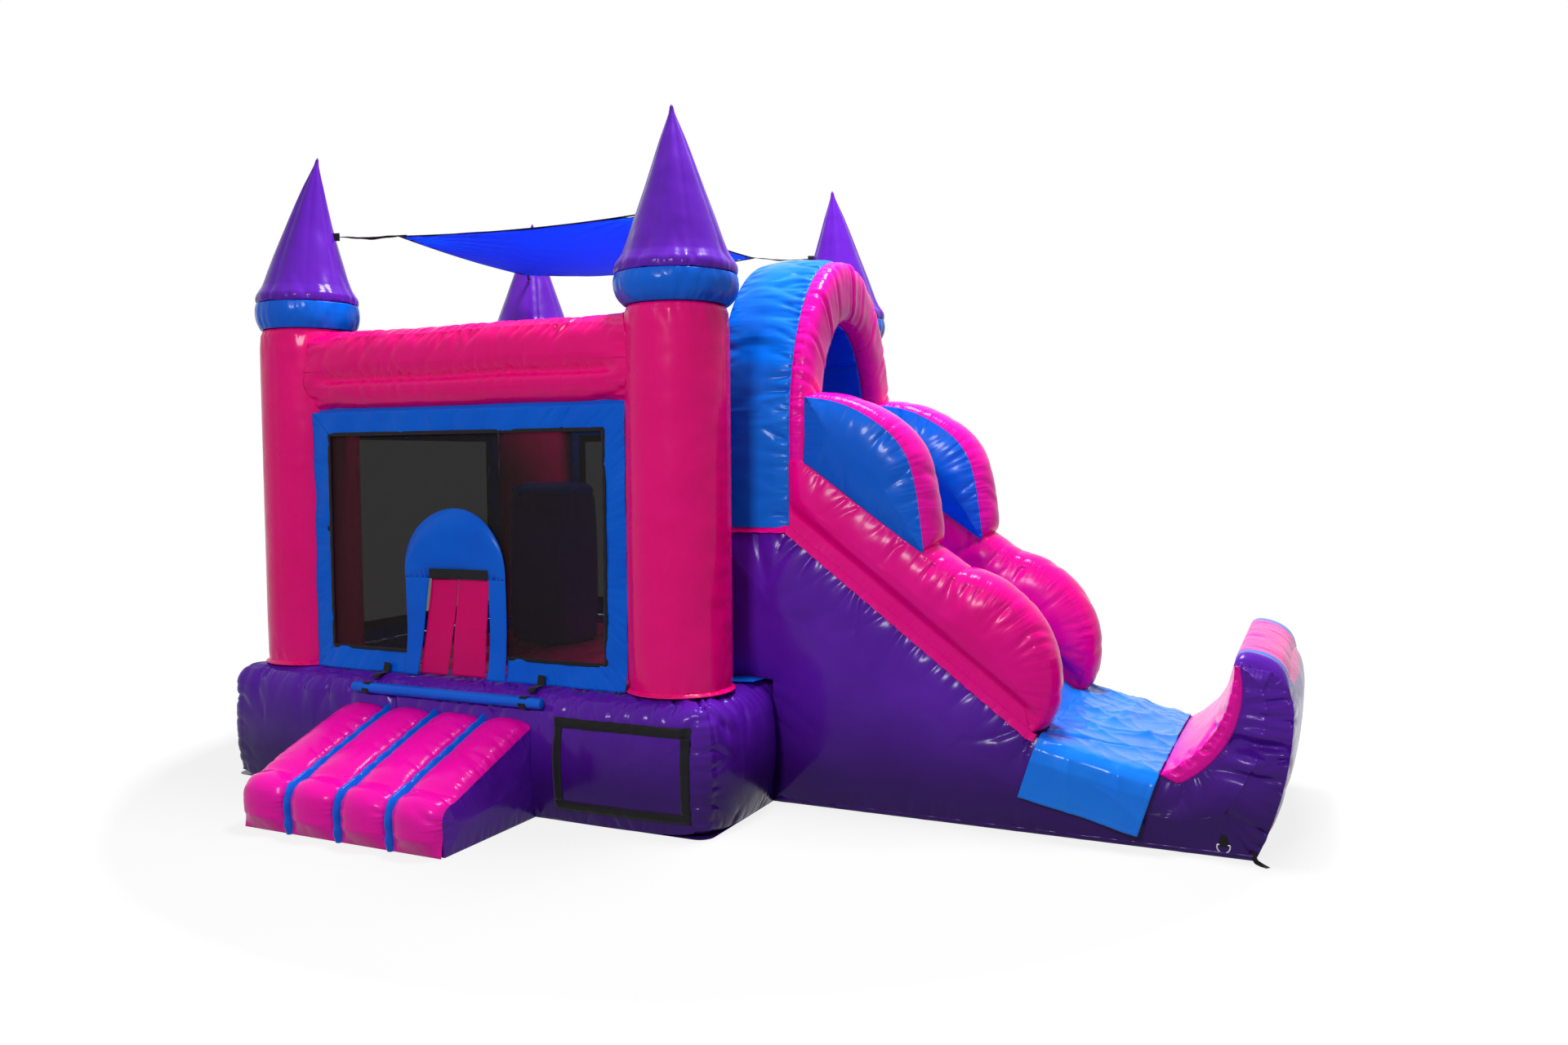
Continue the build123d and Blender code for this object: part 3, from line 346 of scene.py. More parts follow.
def in_space(flat, c, across):
    """Puts points in the XZ plane, or in the YZ plane, at c in the direction that crosses it."""
    c = np.full(len(flat), c)
    return points(flat[:, 0], c, flat[:, 1]) if across == "y" else points(c, flat[:, 0], flat[:, 1])


def patch(edges, u, v):
    """Points of a panel between four edges. Low and top run from left to right, and the other two upwards."""
    low, right, top, left = edges
    a, b = u[:, None], v[:, None]
    corners = (1 - a) * (1 - b) * low[0] + a * (1 - b) * low[-1] + (1 - a) * b * top[0] + a * b * top[-1]
    return (1 - b) * at(low, u) + b * at(top, u) + (1 - a) * at(left, v) + a * at(right, v) - corners


# ================================================================ swelling and puckers
def fading(d, reach):
    return np.exp(-d / reach)


def hump(x, wide):
    """1 at x = 0, falling off smoothly to both sides."""
    return np.exp(-(x / wide) ** 2)


def groove(x, wide):
    """1 at x = 0, falling off steeply at first, as a pinched fold does."""
    return np.exp(1 - np.sqrt(1 + (x / wide) ** 2))


def crown(t, power=.6):
    """How far a strip swells across its width."""
    return np.maximum(0, 1 - (2 * t - 1) ** 2) ** power


def to_edge(v, wide):
    """The distance to the nearer edge of a strip."""
    return np.minimum(v, 1 - v) * wide


def off_rim(v):
    """0 on the two rows of a strip that stay on their seams, and 1 on those between them."""
    return (v > RIM) & (v < 1 - RIM)


def creases(s, d, run, seed, depth=.010, reach=.10, gap=.045, loop=False):
    """Puckers that start at a seam. s runs along the seam, run is its length, and d is the distance from it."""
    if depth == 0:
        return np.zeros_like(s)
    count = max(3, round(run / gap)) if loop else round(run / gap) + 4
    gap = run / count if loop else gap
    dice = np.random.default_rng(seed)
    first = 0 if loop else 1
    start = (np.arange(count) - first + dice.uniform(-.4, .4, count)) * gap
    long = reach * dice.uniform(.25, 1.5, count)
    deep = depth * dice.uniform(.3, 1.0, count) ** 2
    lean, bend = dice.uniform(-.45, .45, count), dice.uniform(-2, 2, count)
    slot = np.round(s / gap).astype(int) + first
    h = np.zeros_like(s)
    for step in (-2, -1, 0, 1, 2):
        i = (slot + step) % count if loop else slot + step
        good = np.ones_like(s, bool) if loop else (i >= 0) & (i < count)
        i = np.clip(i, 0, count - 1)
        x = s - start[i] - lean[i] * d - bend[i] * d * d
        if loop:
            x = (x + run / 2) % run - run / 2
        h -= good * deep[i] * groove(x, .0065 + .085 * d) * np.exp(-(np.maximum(d, 0) / long[i]) ** 1.6)
    return h * (1 - fading(d, .007))


def both_creases(s, v, wide, run, one, other):
    """Puckers from both edges of a strip. one and other give seed, depth, reach and spacing."""
    return creases(s, v * wide, run, *one) + creases(s, (1 - v) * wide, run, *other)


def crumple(x, y, seed, count=9, scale=9.0):
    """Loose folds: crossing soft ridges, 0 to about 1."""
    dice = np.random.default_rng(seed)
    h = np.zeros_like(x)
    for _ in range(count):
        turn, k = dice.uniform(0, PI), scale * dice.uniform(.5, 1.6)
        phase, bend = dice.uniform(0, 6.3), dice.uniform(.4, 1.2)
        across = x * math.cos(turn) + y * math.sin(turn)
        along = -x * math.sin(turn) + y * math.cos(turn)
        wave = k * across + phase + bend * np.sin(1.9 * along * k / 4 + phase * 2)
        ridge, fade = 1 - np.abs(np.sin(wave)), .5 + .5 * np.sin(along * 3.1 + phase)
        h += ridge**3 * fade**2 * dice.uniform(.4, 1)
    return h / 3


def ripple(spot, size=.003):
    """Slow waves that keep a big face from being dead flat."""
    x, y, z = spot.T
    long, middle = np.sin(5.1 * x + 1.3 * z + 2.7 * y), np.sin(3.3 * z - 4.7 * y + .8)
    return size * (long + middle * .8 + np.sin(9.2 * x + 7.7 * z + 6.1 * y) * .4)


# ================================================================ sewing
def cells(size, cell=None):
    return max(2, round(size / (cell or CELL)))


def strip(nu, nv, place, mat):
    """A strip of vinyl. place puts the grid's two directions, 0 to 1, in place and says where the seam is."""
    bpy.ops.mesh.primitive_grid_add(x_subdivisions=nu, y_subdivisions=nv, size=2)
    piece = bpy.context.object
    mesh = piece.data
    flat = np.empty(len(mesh.vertices) * 3)
    mesh.vertices.foreach_get("co", flat)
    flat = flat.reshape(-1, 3)
    spot, along, off = place((flat[:, 0] + 1) / 2, (flat[:, 1] + 1) / 2)
    mesh.vertices.foreach_set("co", spot.ravel())
    corner = np.empty(len(mesh.loops), np.int32)
    mesh.loops.foreach_get("vertex_index", corner)
    mesh.uv_layers[0].data.foreach_set("uv", points(along, np.full(len(along), off))[corner].ravel())
    mesh.materials.append(mat)
    return piece


def paint(piece, mats, pick):
    """Gives each face the vinyl that pick chooses by its centre."""
    mesh = piece.data
    mesh.materials.clear()
    for m in mats:
        mesh.materials.append(m)
    centre = np.empty(len(mesh.polygons) * 3)
    mesh.polygons.foreach_get("center", centre)
    mesh.polygons.foreach_set("material_index", pick(centre.reshape(-1, 3)).astype(np.int32))


def only(*objects):
    bpy.ops.object.select_all(action="DESELECT")
    for o in objects:
        o.select_set(True)
    bpy.context.view_layer.objects.active = objects[0]


def sew(name, strips, slot, nodes=None, body="house", merge=.0008, pad=True):
    """Joins strips along their seams into one piece. It stands for the CAD nodes named, or for its own."""
    only(*strips)
    if len(strips) > 1:
        bpy.ops.object.join()
    piece = bpy.context.object
    bpy.ops.object.mode_set(mode="EDIT")
    bpy.ops.mesh.select_all(action="SELECT")
    bpy.ops.mesh.remove_doubles(threshold=merge)
    bpy.ops.mesh.normals_make_consistent(inside=False)
    bpy.ops.object.mode_set(mode="OBJECT")
    bpy.ops.object.shade_smooth()
    piece.name = piece.data.name = name
    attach(piece, body)
    nodes = [name] if nodes is None else nodes
    if nodes:
        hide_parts(*nodes)
    return piece


def altered(piece, kind, **settings):
    """Applies a modifier to a piece."""
    only(piece)
    change = piece.modifiers.new("change", kind)
    for key, value in settings.items():
        setattr(change, key, value)
    bpy.ops.object.modifier_apply(modifier="change")


def single(name, strips, slot, thick=SHEET, offset=0.0, **more):
    """Sews a piece that is one layer, and gives it its thickness."""
    piece = sew(name, strips, slot, pad=False, **more)
    if thick:
        altered(piece, "SOLIDIFY", thickness=thick, offset=offset)
    return piece


def tapes(name, ribbons, slot="black_webbing", nodes=None, thick=.003):
    piece = single(name, ribbons, slot, thick, nodes=nodes, merge=.0001)
    altered(piece, "BEVEL", width=thick * .3, segments=2, limit_method="ANGLE")
    bpy.ops.object.shade_smooth_by_angle(angle=.7)
    return piece


def ribbon(line, wide, face, mat, count=None, wave=.0):
    """A flat tape along a path in space. face is the way that its flat side looks."""
    line, face = np.array(line, float), np.array(face, float)
    run = length(line)

    def place(u, v):
        ahead = heading(line, u, .01)
        flat = np.broadcast_to(face, ahead.shape) if face.ndim == 1 else at(face, u)
        spot = moved(at(line, u), unit(np.cross(flat, ahead)), (v - .5) * wide)
        return moved(spot, flat, wave * np.sin(u * run * 47 + v * 2)), u * run, NO_SEAM
    return strip(count or cells(run), 3, place, mat)


def to_seams(flat, seams, run_step=.01):
    """For points on a flat panel: the nearest seam's number, the way along it and the distance to it."""
    found = []
    for k, seam in enumerate(seams):
        run = length(seam)
        if run < .001:
            continue
        t = np.linspace(0, 1, max(2, round(run / run_step)) + 1)
        found.append((at(seam, t), t * run, np.full(len(t), k), heading(seam, t)))
    spots, ways, which, ahead = map(np.concatenate, zip(*found))
    parts = np.array_split(flat, max(1, len(flat) // 3000))
    best = np.concatenate([np.argmin(((part[:, None, :] - spots[None]) ** 2).sum(2), 1) for part in parts])
    gap = flat - spots[best]
    slip = np.clip((gap * ahead[best]).sum(1), -run_step, run_step)
    return which[best], ways[best] + slip, np.sqrt(np.maximum((gap**2).sum(1) - slip**2, 0))


def gusset(line, n, out, c0, c1, skin, across="y", swell=0, depth=0, reach=.1, gap=.045, seed=1, cell=None,
           pinch=.05):
    """The strip round the edge of a chamber, from one side to the other. swell is a number or a function."""
    run, wide = length(line), c1 - c0

    def place(u, v):
        flat, left = beside(line, u)
        h = swell(flat, v) if callable(swell) else swell * crown(v)
        h = h + both_creases(u * run, v, wide, run, (seed, depth, reach, gap), (seed + 4, depth, reach, gap))
        h *= (1 - fading(to_edge(u, run), pinch)) * off_rim(v)
        return in_space(moved(flat, left, -out * h), c0 + v * wide, across), u * run, to_edge(v, wide)
    return strip(n, cells(wide, (cell or CELL) * 1.6), place, skin)


def chamber(edges, c0, c1, side, skin, across="y", bulge=.03, swell=(0, 0, 0, 0), depth=(0, 0, 0, 0), reach=.10,
            gap=.045, seed=1, cell=None, soft=.09, push=None, outline=None, rows=None, gussets=(0, 1, 2, 3),
            pinch=.05):
    """The strips of a chamber: two flat sides between four edges, and a gusset round them from c0 to c1.
    side is the vinyl of the two sides, and skin that of the gusset. swell and depth give each edge's swelling
    and the depth of its creases. Panels that are sewn side by side share an outline, which their swelling goes
    by. rows is a count of rows below and above a knee in the upright edges, and the knee's share of their
    length."""
    low, right, top, left = edges
    seams = outline or edges
    nu = cells(max(length(low), length(top)), cell)
    nv = rows[0] + rows[1] if rows else cells(max(length(left), length(right)), cell)

    def panel(c, sign, s0):
        def place(u, v):
            if rows:
                v = np.interp(v, [0, rows[0] / nv, 1], [0, rows[2], 1])
            flat = patch(edges, u, v)
            k, s, d = to_seams(flat, seams)
            h = bulge * (1 - fading(d, soft)) + ripple(in_space(flat, c, across)) * (1 - fading(d, .06))
            for i, line in enumerate(seams):
                h += (k == i) * creases(s, d, length(line), s0 + i, depth[i], reach, gap)
            if push:
                h += push(flat, d)
            for i, edge in enumerate((v < RIM, u > 1 - RIM, v > 1 - RIM, u < RIM)):
                if i in gussets:
                    h[edge] = 0
            return in_space(flat, c + sign * h, across), s, d
        return place

    made = [strip(nu, nv, panel(c0, -1, seed), side), strip(nu, nv, panel(c1, 1, seed + 4), side)]
    for i, (line, n, out) in enumerate(((low, nu, 1), (right, nv, 1), (top, nu, -1), (left, nv, -1))):
        if i in gussets and length(line) > .001:
            made.append(gusset(line, n, out, c0, c1, skin, across, swell[i], depth[i], reach, gap, seed + i,
                               cell, pinch))
    return made


def turned(centre, profile, side, seams, lean=(0, 0), gores=0, axis="z", gore_depth=.005, cell=None):
    """A round chamber: a profile of (radius, height) points turned about a line. Each seam is a tuple of
    its height, and the seed, depth, reach and spacing of its creases."""
    profile = np.array(profile, float)
    foot, tall = profile[:, 1].min(), profile[:, 1].max() - profile[:, 1].min()
    biggest = profile[:, 0].max()
    around, (cx, cy, cz) = 2 * PI * biggest, centre
    nu = cells(around, CELL if cell is None else min(CELL, cell * 1.6))

    def place(u, v):
        (r, z), ahead = at(profile, v).T, heading(profile, v)
        turn = 2 * PI * u
        s = turn * biggest
        h = np.zeros_like(u)
        off = np.full_like(u, 9.0)
        for height, *style in seams:
            d = np.abs(z - height)
            off = np.minimum(off, d)
            h += creases(s, d, around, *style, loop=True)
        if gores:
            in_gore = (u * gores + .5) % 1 - .5
            wide = 2 * PI * np.maximum(r, .001) / gores
            h -= gore_depth * hump(in_gore * wide, .016) * np.clip(r / .05, 0, 1)
            h -= gore_depth * .4 * np.cos(2 * PI * in_gore) * np.clip(r / .1, 0, 1)
        h = np.where(r < .012, 0, h)
        rr, zz = r + h * ahead[:, 1], z - h * ahead[:, 0]
        x, y = rr * np.cos(turn), rr * np.sin(turn)
        rise = ((z - foot) / tall) ** 2
        if axis == "x":
            return points(cx + zz, cy + x, cz + y), s, off
        return points(cx + x + lean[0] * rise, cy + y + lean[1] * rise, cz + zz), s, off
    return strip(nu, cells(length(profile), cell), place, side)


def boxed(centre, half, radius, profile, mat, across, push):
    """A closed ring of vinyl over a rounded rectangle. profile is a list of (inset, height) points, one for each
    row."""
    profile = np.array(profile, float)
    corner = 7      # cells round a corner
    (hx, hy), nv = half, len(profile) - 1
    sides = [cells(2 * hx - 2 * radius, across), cells(2 * hy - 2 * radius, across)] * 2
    # each column's side, its share of the turn round the corner before that side, and its share of the side
    marks = []
    for k in range(4):
        marks += [(k, i / corner, 0.0) for i in range(corner)]
        marks += [(k, 1.0, i / sides[k]) for i in range(sides[k])]
    marks = np.array([*marks, marks[0]])
    signs = np.array([(-1, -1), (1, -1), (1, 1), (-1, 1)], float)

    def place(u, v):
        row = np.clip(np.round(v * nv).astype(int), 0, nv)
        inset, z = profile[row].T
        k, turn, t = marks[np.clip(np.round(u * (len(marks) - 1)).astype(int), 0, len(marks) - 1)].T
        k = k.astype(int)

        def corner_point(k, turn):
            r = np.maximum(radius - inset, .002)
            angle = PI + (k % 4 + turn) * PI / 2
            face = points(np.cos(angle), np.sin(angle))
            return signs[k % 4] * points(hx - inset - r, hy - inset - r) + face * r[:, None], face
        here, face = corner_point(k, turn)
        after, _ = corner_point(k + 1, turn * 0)
        flat = here * (1 - t[:, None]) + after * t[:, None]
        s = np.cumsum([0, 2 * hx, 2 * hy, 2 * hx])[k] + t * np.where(k % 2 == 0, 2 * hx, 2 * hy)
        out, up, off = push(flat, inset, z, k, t, s, row)
        return in_plan(moved(flat, face, out), z + up) + centre, s, off
    return strip(len(marks) - 1, nv, place, mat)


def in_plan(flat, z):
    return points(flat[:, 0], flat[:, 1], z)


# ================================================================ sizes from the frame
def node_box(name):
    """The lowest corner, the highest corner and the middle of a node."""
    lo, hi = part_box(name)
    return tuple(lo), tuple(hi), tuple((a + b) / 2 for a, b in zip(lo, hi))


_, (BASE_X, _, BASE_TOP), _ = node_box("base_front_beam")
BASE_Y = node_box("base_back_beam")[1][1]
_, (_, SLIDE_Y, DECK_Z), _ = node_box("slide_body")
WALL_Y = -node_box("front_window_border")[2][1]
WALL_X = -node_box("left_window_border")[2][0]
SIDES = (("near", -1), ("far", 1))
DECK_EDGE = (1.880, DECK_Z)
SLOPE_FOOT = (3.310, .542)       # where the sewn edges meet, just above the slope


# ================================================================ turrets
def turrets():
    collars = []
    # how full each spire is, and how far its tip leans
    shapes = {"front_left": (.93, (.100, .020)), "front_right": (1.015, (-.030, .022)),
              "back_left": (1, (.035, -.02)), "back_right": (1, (-.035, -.025))}
    for n, (corner, (full, lean)) in enumerate(shapes.items()):
        (x0, _, z0), (x1, _, z1), (x, y, _) = node_box(f"post_{corner}")
        centre, r, seed = (x, y, 0), (x1 - x0) / 2, 100 + 10 * n
        shaft = [(0, z0), (r - .016, z0), (r - .004, z0 + .02), (r, z0 + .07), (r, z1 - .12),
                 (r - .006, z1 - .04), (r - .022, z1), (0, z1)]
        hem = [(r - .02, z0 + .001), (r + .014, z0 + .001), (r + .018, z0 + .006), (r + .004, z0 + .016),
               (r - .012, z0 + .03)]
        tube = turned(centre, shaft, PINK, gores=4, gore_depth=.0022,
                      seams=[(z0, seed, .007, .12, .055), (z1, seed + 1, .009, .15, .045)])
        welt = turned(centre, hem, PINK, [(z0, seed + 2, .003, .05, .05)], cell=.006)
        sew(f"post_{corner}", [tube, welt], "pink_vinyl")
        (_, _, head), (_, _, top), _ = node_box(f"spire_{corner}")
        foot = z1 + .001
        side = arc((r - .006, foot), (.350 * full, foot + .095), (.340 * full, head - .001))
        belly = [(0, foot), (r - .010, foot), *side, (0, head - .001)]
        collars.append(turned(centre, belly, BLUE, cell=.009,
                              seams=[(foot, seed + 3, .012, .09, .042), (head, seed + 4, .009, .075, .042)]))
        cone = [(.338, head), *arc((.340, head + .002), (.346, head + .030), (.330, head + .070)),
                (.304, head + .110), (.284, head + .157), (.245, head + .266), (.167, head + .483),
                (.070, top - .19), (.018, top - .05), (.010, top - .012), (0, top)]
        cone = [(0, head)] + [(wide * full, high) for wide, high in cone]
        spire = turned(centre, cone, PURPLE, [(head, seed + 5, .013, .17, .050)], lean, 8, gore_depth=.0035,
                       cell=.010)
        sew(f"spire_{corner}", [spire], "purple_vinyl")
    sew("post_collars", collars, "blue_vinyl")


# ================================================================ top tubes
def power(value, n):
    return np.sign(value) * np.abs(value) ** n


def tube(side, seed, stub):
    """A tube between two posts, let into them at both ends. Its two halves meet in a groove. A stub ends at the
    arch instead, and is 1 towards the back or -1 towards the front."""
    (_, _, z0), (_, y1, z1), (x, y, middle) = node_box(f"top_tubes_{side}")
    (post_x0, _, _), (post_x1, _, _), (post_x, post_y, _) = node_box("post_front_right")
    r = (post_x1 - post_x0) / 2
    along_x = side in ("front", "back")
    half, out, from_axis = (post_x, y, -post_y) if along_x else (-post_y, x, post_x)
    beyond = abs(out) - from_axis
    deep, tall, joint, around = .148, (z1 - z0) / 2, z0 + .200, 1.45
    limit = y1 - .004 if stub else 9

    def place(u, v):
        cos, sin = np.cos(2 * PI * v), np.sin(2 * PI * v)
        up = tall * power(sin, .85)
        z = middle + up
        whole = deep * np.maximum(0, 1 - np.abs(up / tall) ** 3.2) ** .5
        share = np.where(z < joint, (z - z0) / (joint - z0), (z1 - z) / (z1 - joint))
        lobes = np.minimum(whole, .082 + .072 * crown(share, .5))
        let_in = np.sqrt(np.maximum(r**2 - (np.sign(cos) * whole + beyond) ** 2, 0))
        end = np.minimum(half - let_in + .012, limit)
        start = .69 * np.sqrt(np.maximum(0, 1 - (np.maximum(z - 2.2, 0) / 1.03) ** 2)) - .01 if stub else -end
        run = end - start
        along, longest = run * u, float(run.max())
        from_post = (1 - u) * run if stub else to_edge(u, run)
        free = np.clip((from_post - .04) / .16, 0, 1)
        free = free * free * (3 - 2 * free)
        d = np.sign(cos) * np.maximum(0, whole + (lobes - whole) * free)
        s = v * around
        h = creases(s, from_post, around, seed, .013, .17, .048, loop=True)
        if not stub:
            h += creases(s, (1 - u) * run, around, seed + 1, .013, .17, .048, loop=True) * (u > .5) * .5
        off = np.abs(z - joint)
        h += creases(along, off, longest, seed + 2, .022, .070, .042) * np.where(z > joint, 1, .8) * free
        crest = np.hypot(z - (z1 - .045), np.minimum(d, 0))
        h += creases(along, crest, longest, seed + 3, .026, .085, .048) * free
        h += .010 * np.sin(s * 31 + (start + along) * 3) * fading(from_post, .12)
        along = (stub or 1) * (start + along)
        depth, high = out + np.sign(out) * (d + cos * h) * off_rim(u), middle + (up + sin * h) * off_rim(u)
        spot = points(along, depth, high) if along_x else points(depth, along, high)
        spot[:, 2] += ripple(spot) * .8 * off_rim(u)
        return spot, s, np.minimum(from_post, off)
    return strip(cells(.45 if stub else 2 * half, CELL * .85), cells(around, CELL * .85), place, PINK)


def top_tubes():
    for n, side in enumerate(("front", "back", "left", "right")):
        stubs = (-1, 1) if side == "right" else (0,)
        strips = [tube(side, 200 + 20 * n + k, stub) for k, stub in enumerate(stubs)]
        sew(f"top_tubes_{side}", strips, "pink_vinyl")


# ================================================================ base
def off_patch(x, z, middle, half):
    """The distance to a rectangle on a wall."""
    return np.hypot(np.maximum(np.abs(x - middle[0]) - half[0], 0),
                    np.maximum(np.abs(z - middle[1]) - half[1], 0))


def base():
    round_r, wide = .135, .400
    wall = [(0, z) for z in np.linspace(0, BASE_TOP - round_r, cells(BASE_TOP - round_r))]
    bend = [(round_r - round_r * math.cos(a), BASE_TOP - round_r + round_r * math.sin(a))
            for a in np.linspace(0, PI / 2, cells(.27))[1:]]
    ledge = [(x, BASE_TOP) for x in np.linspace(round_r, wide - .02, cells(wide - round_r, .02))[1:]]
    inner = [(wide, BASE_TOP - .02), (wide, BASE_TOP - .07), (wide, .4), (wide, .0), (wide / 2, .0),
             (.03, 0), (0, 0)]
    profile = wall + bend + ledge + inner
    nw, nb = len(wall), len(bend)
    way = way_along(np.array(profile))
    seam_way = way[nw + round(nb * .62)]
    total = 4 * (BASE_X + BASE_Y)
    fullness = np.array([.050, .105, .028, .028])       # of the front, the slide's side, the back and the left

    def push(flat, inset, z, k, t, s, row):
        x, y = flat.T
        outside, upright = row <= nw + nb + 3, row < nw
        to_corner = np.where(t > 0, to_edge(t, np.where(k % 2 == 0, 2 * BASE_X, 2 * BASE_Y)), 0)
        # pillows between the ground, the corners and the slide
        tall = np.clip(z / (BASE_TOP - .02), 0, 1)
        belly = np.sin(PI * tall) ** .7
        past_slide = np.abs(y) - SLIDE_Y
        free = np.where(k == 1, np.where(past_slide < 0, 0, 1 - fading(np.abs(past_slide), .10)), 1)
        out = fullness[k] * belly * (1 - fading(to_corner, .20)) * free * outside
        # the corner is fullest halfway up and pinched at the ground
        out += fading(to_corner, .10) * (.016 * belly - .012 * (1 - tall) ** 6) * outside
        d_top = np.abs(way[row] - seam_way)
        folds = creases(s, d_top, total, 301, .034, .17, .046) * outside
        folds_low = creases(s, z, total, 302, .014, .08, .060) * outside
        at_ends, at_sides = (creases(z, to_corner + .02, BASE_TOP, seed, .020, .10, .055)
                             for seed in (303, 304))
        folds_up = np.where(k % 2 == 1, at_ends, at_sides) + ripple(in_plan(flat, z), .0025)
        shoulder = np.clip((row - nw) / nb, 0, 1)
        out += (folds * (1 - shoulder) + folds_low + folds_up * upright) * free
        up = folds * shoulder - .006 * hump(d_top, .012) * outside
        up += .030 * fading(to_corner, .12) * (1 - tall) ** 3 * outside
        # flat where the zip, the inlet and the tie-down rings are sewn on
        zipped = off_patch(x, z, (-1.04, .14), (.26, .04))
        inlet = np.maximum(np.hypot(x - .30, z - .138) - .13, 0)
        ring = off_patch(np.abs(y), z, (1.3425, .08), (.03, .08))
        out *= 1 - hump(np.select([k == 2, k == 3], [np.minimum(zipped, inlet), ring], 9.0), .055)
        return out, up, np.minimum(d_top, np.minimum(z + .02, to_corner + .05))
    # the base takes the purple with painted shade towards the ground
    ring = boxed((0, 0, 0), (BASE_X, BASE_Y), .085, profile, PURPLE_PAINTED_SHADE, CELL * .8, push)
    sew("base", [ring], "purple_vinyl", [f"base_{side}_beam" for side in ("front", "back", "left", "right")])


def jump_floor():
    (x0, y0, _), (x1, y1, top), _ = node_box("jump_floor")
    lanes, valley = 6, top - .035
    low, right, _, left = quad((x0, 0), (x1, 0), (x1, valley), (x0, valley))
    seams = [(x0 + i * (x1 - x0) / lanes, valley) for i in range(lanes + 1)]
    crest = np.concatenate([arc(a, ((a[0] + b[0]) / 2, top), b, 16) for a, b in zip(seams, seams[1:])])
    floor = chamber((low, right, crest, left), y0, y1, PINK, PINK, bulge=0, depth=(0, 0, .01, 0), cell=.035,
                    seed=320)
    sew("jump_floor", floor, "pink_vinyl")


# ================================================================ slide
def bands(y):
    """The end wall's crest: purple at its two ends, then a blue band, and pink between them."""
    return np.where(np.abs(y) > .672, 0, np.where(np.abs(y) > .585, 1, 2))


def waist(flat, d):
    """Level creases where the wall bends up from the bed, and a flat spot behind the tie-down ring."""
    x, z = flat.T
    h = np.zeros_like(x)
    # height, depth, width and tilt
    folds = ((.600, .085, .024, -.10), (.560, .026, .012, -.18), (.680, .030, .016, -.05), (.745, .028, .015, .02),
             (.440, .036, .016, -.10), (.800, .028, .015, .08), (.862, .024, .015, .12))
    for height, deep, wide, tilt in folds:
        line = height + tilt * (x - 4.36) + .006 * np.sin(x * 21 + height * 40)
        h -= deep * groove(z - line, wide) * hump(x - 4.46, .22)
    h -= .080 * (1 - fading(d, .16)) * hump(x - 4.30, .13) * hump(z - .06, .16)
    return h * (1 - fading(d, .025))


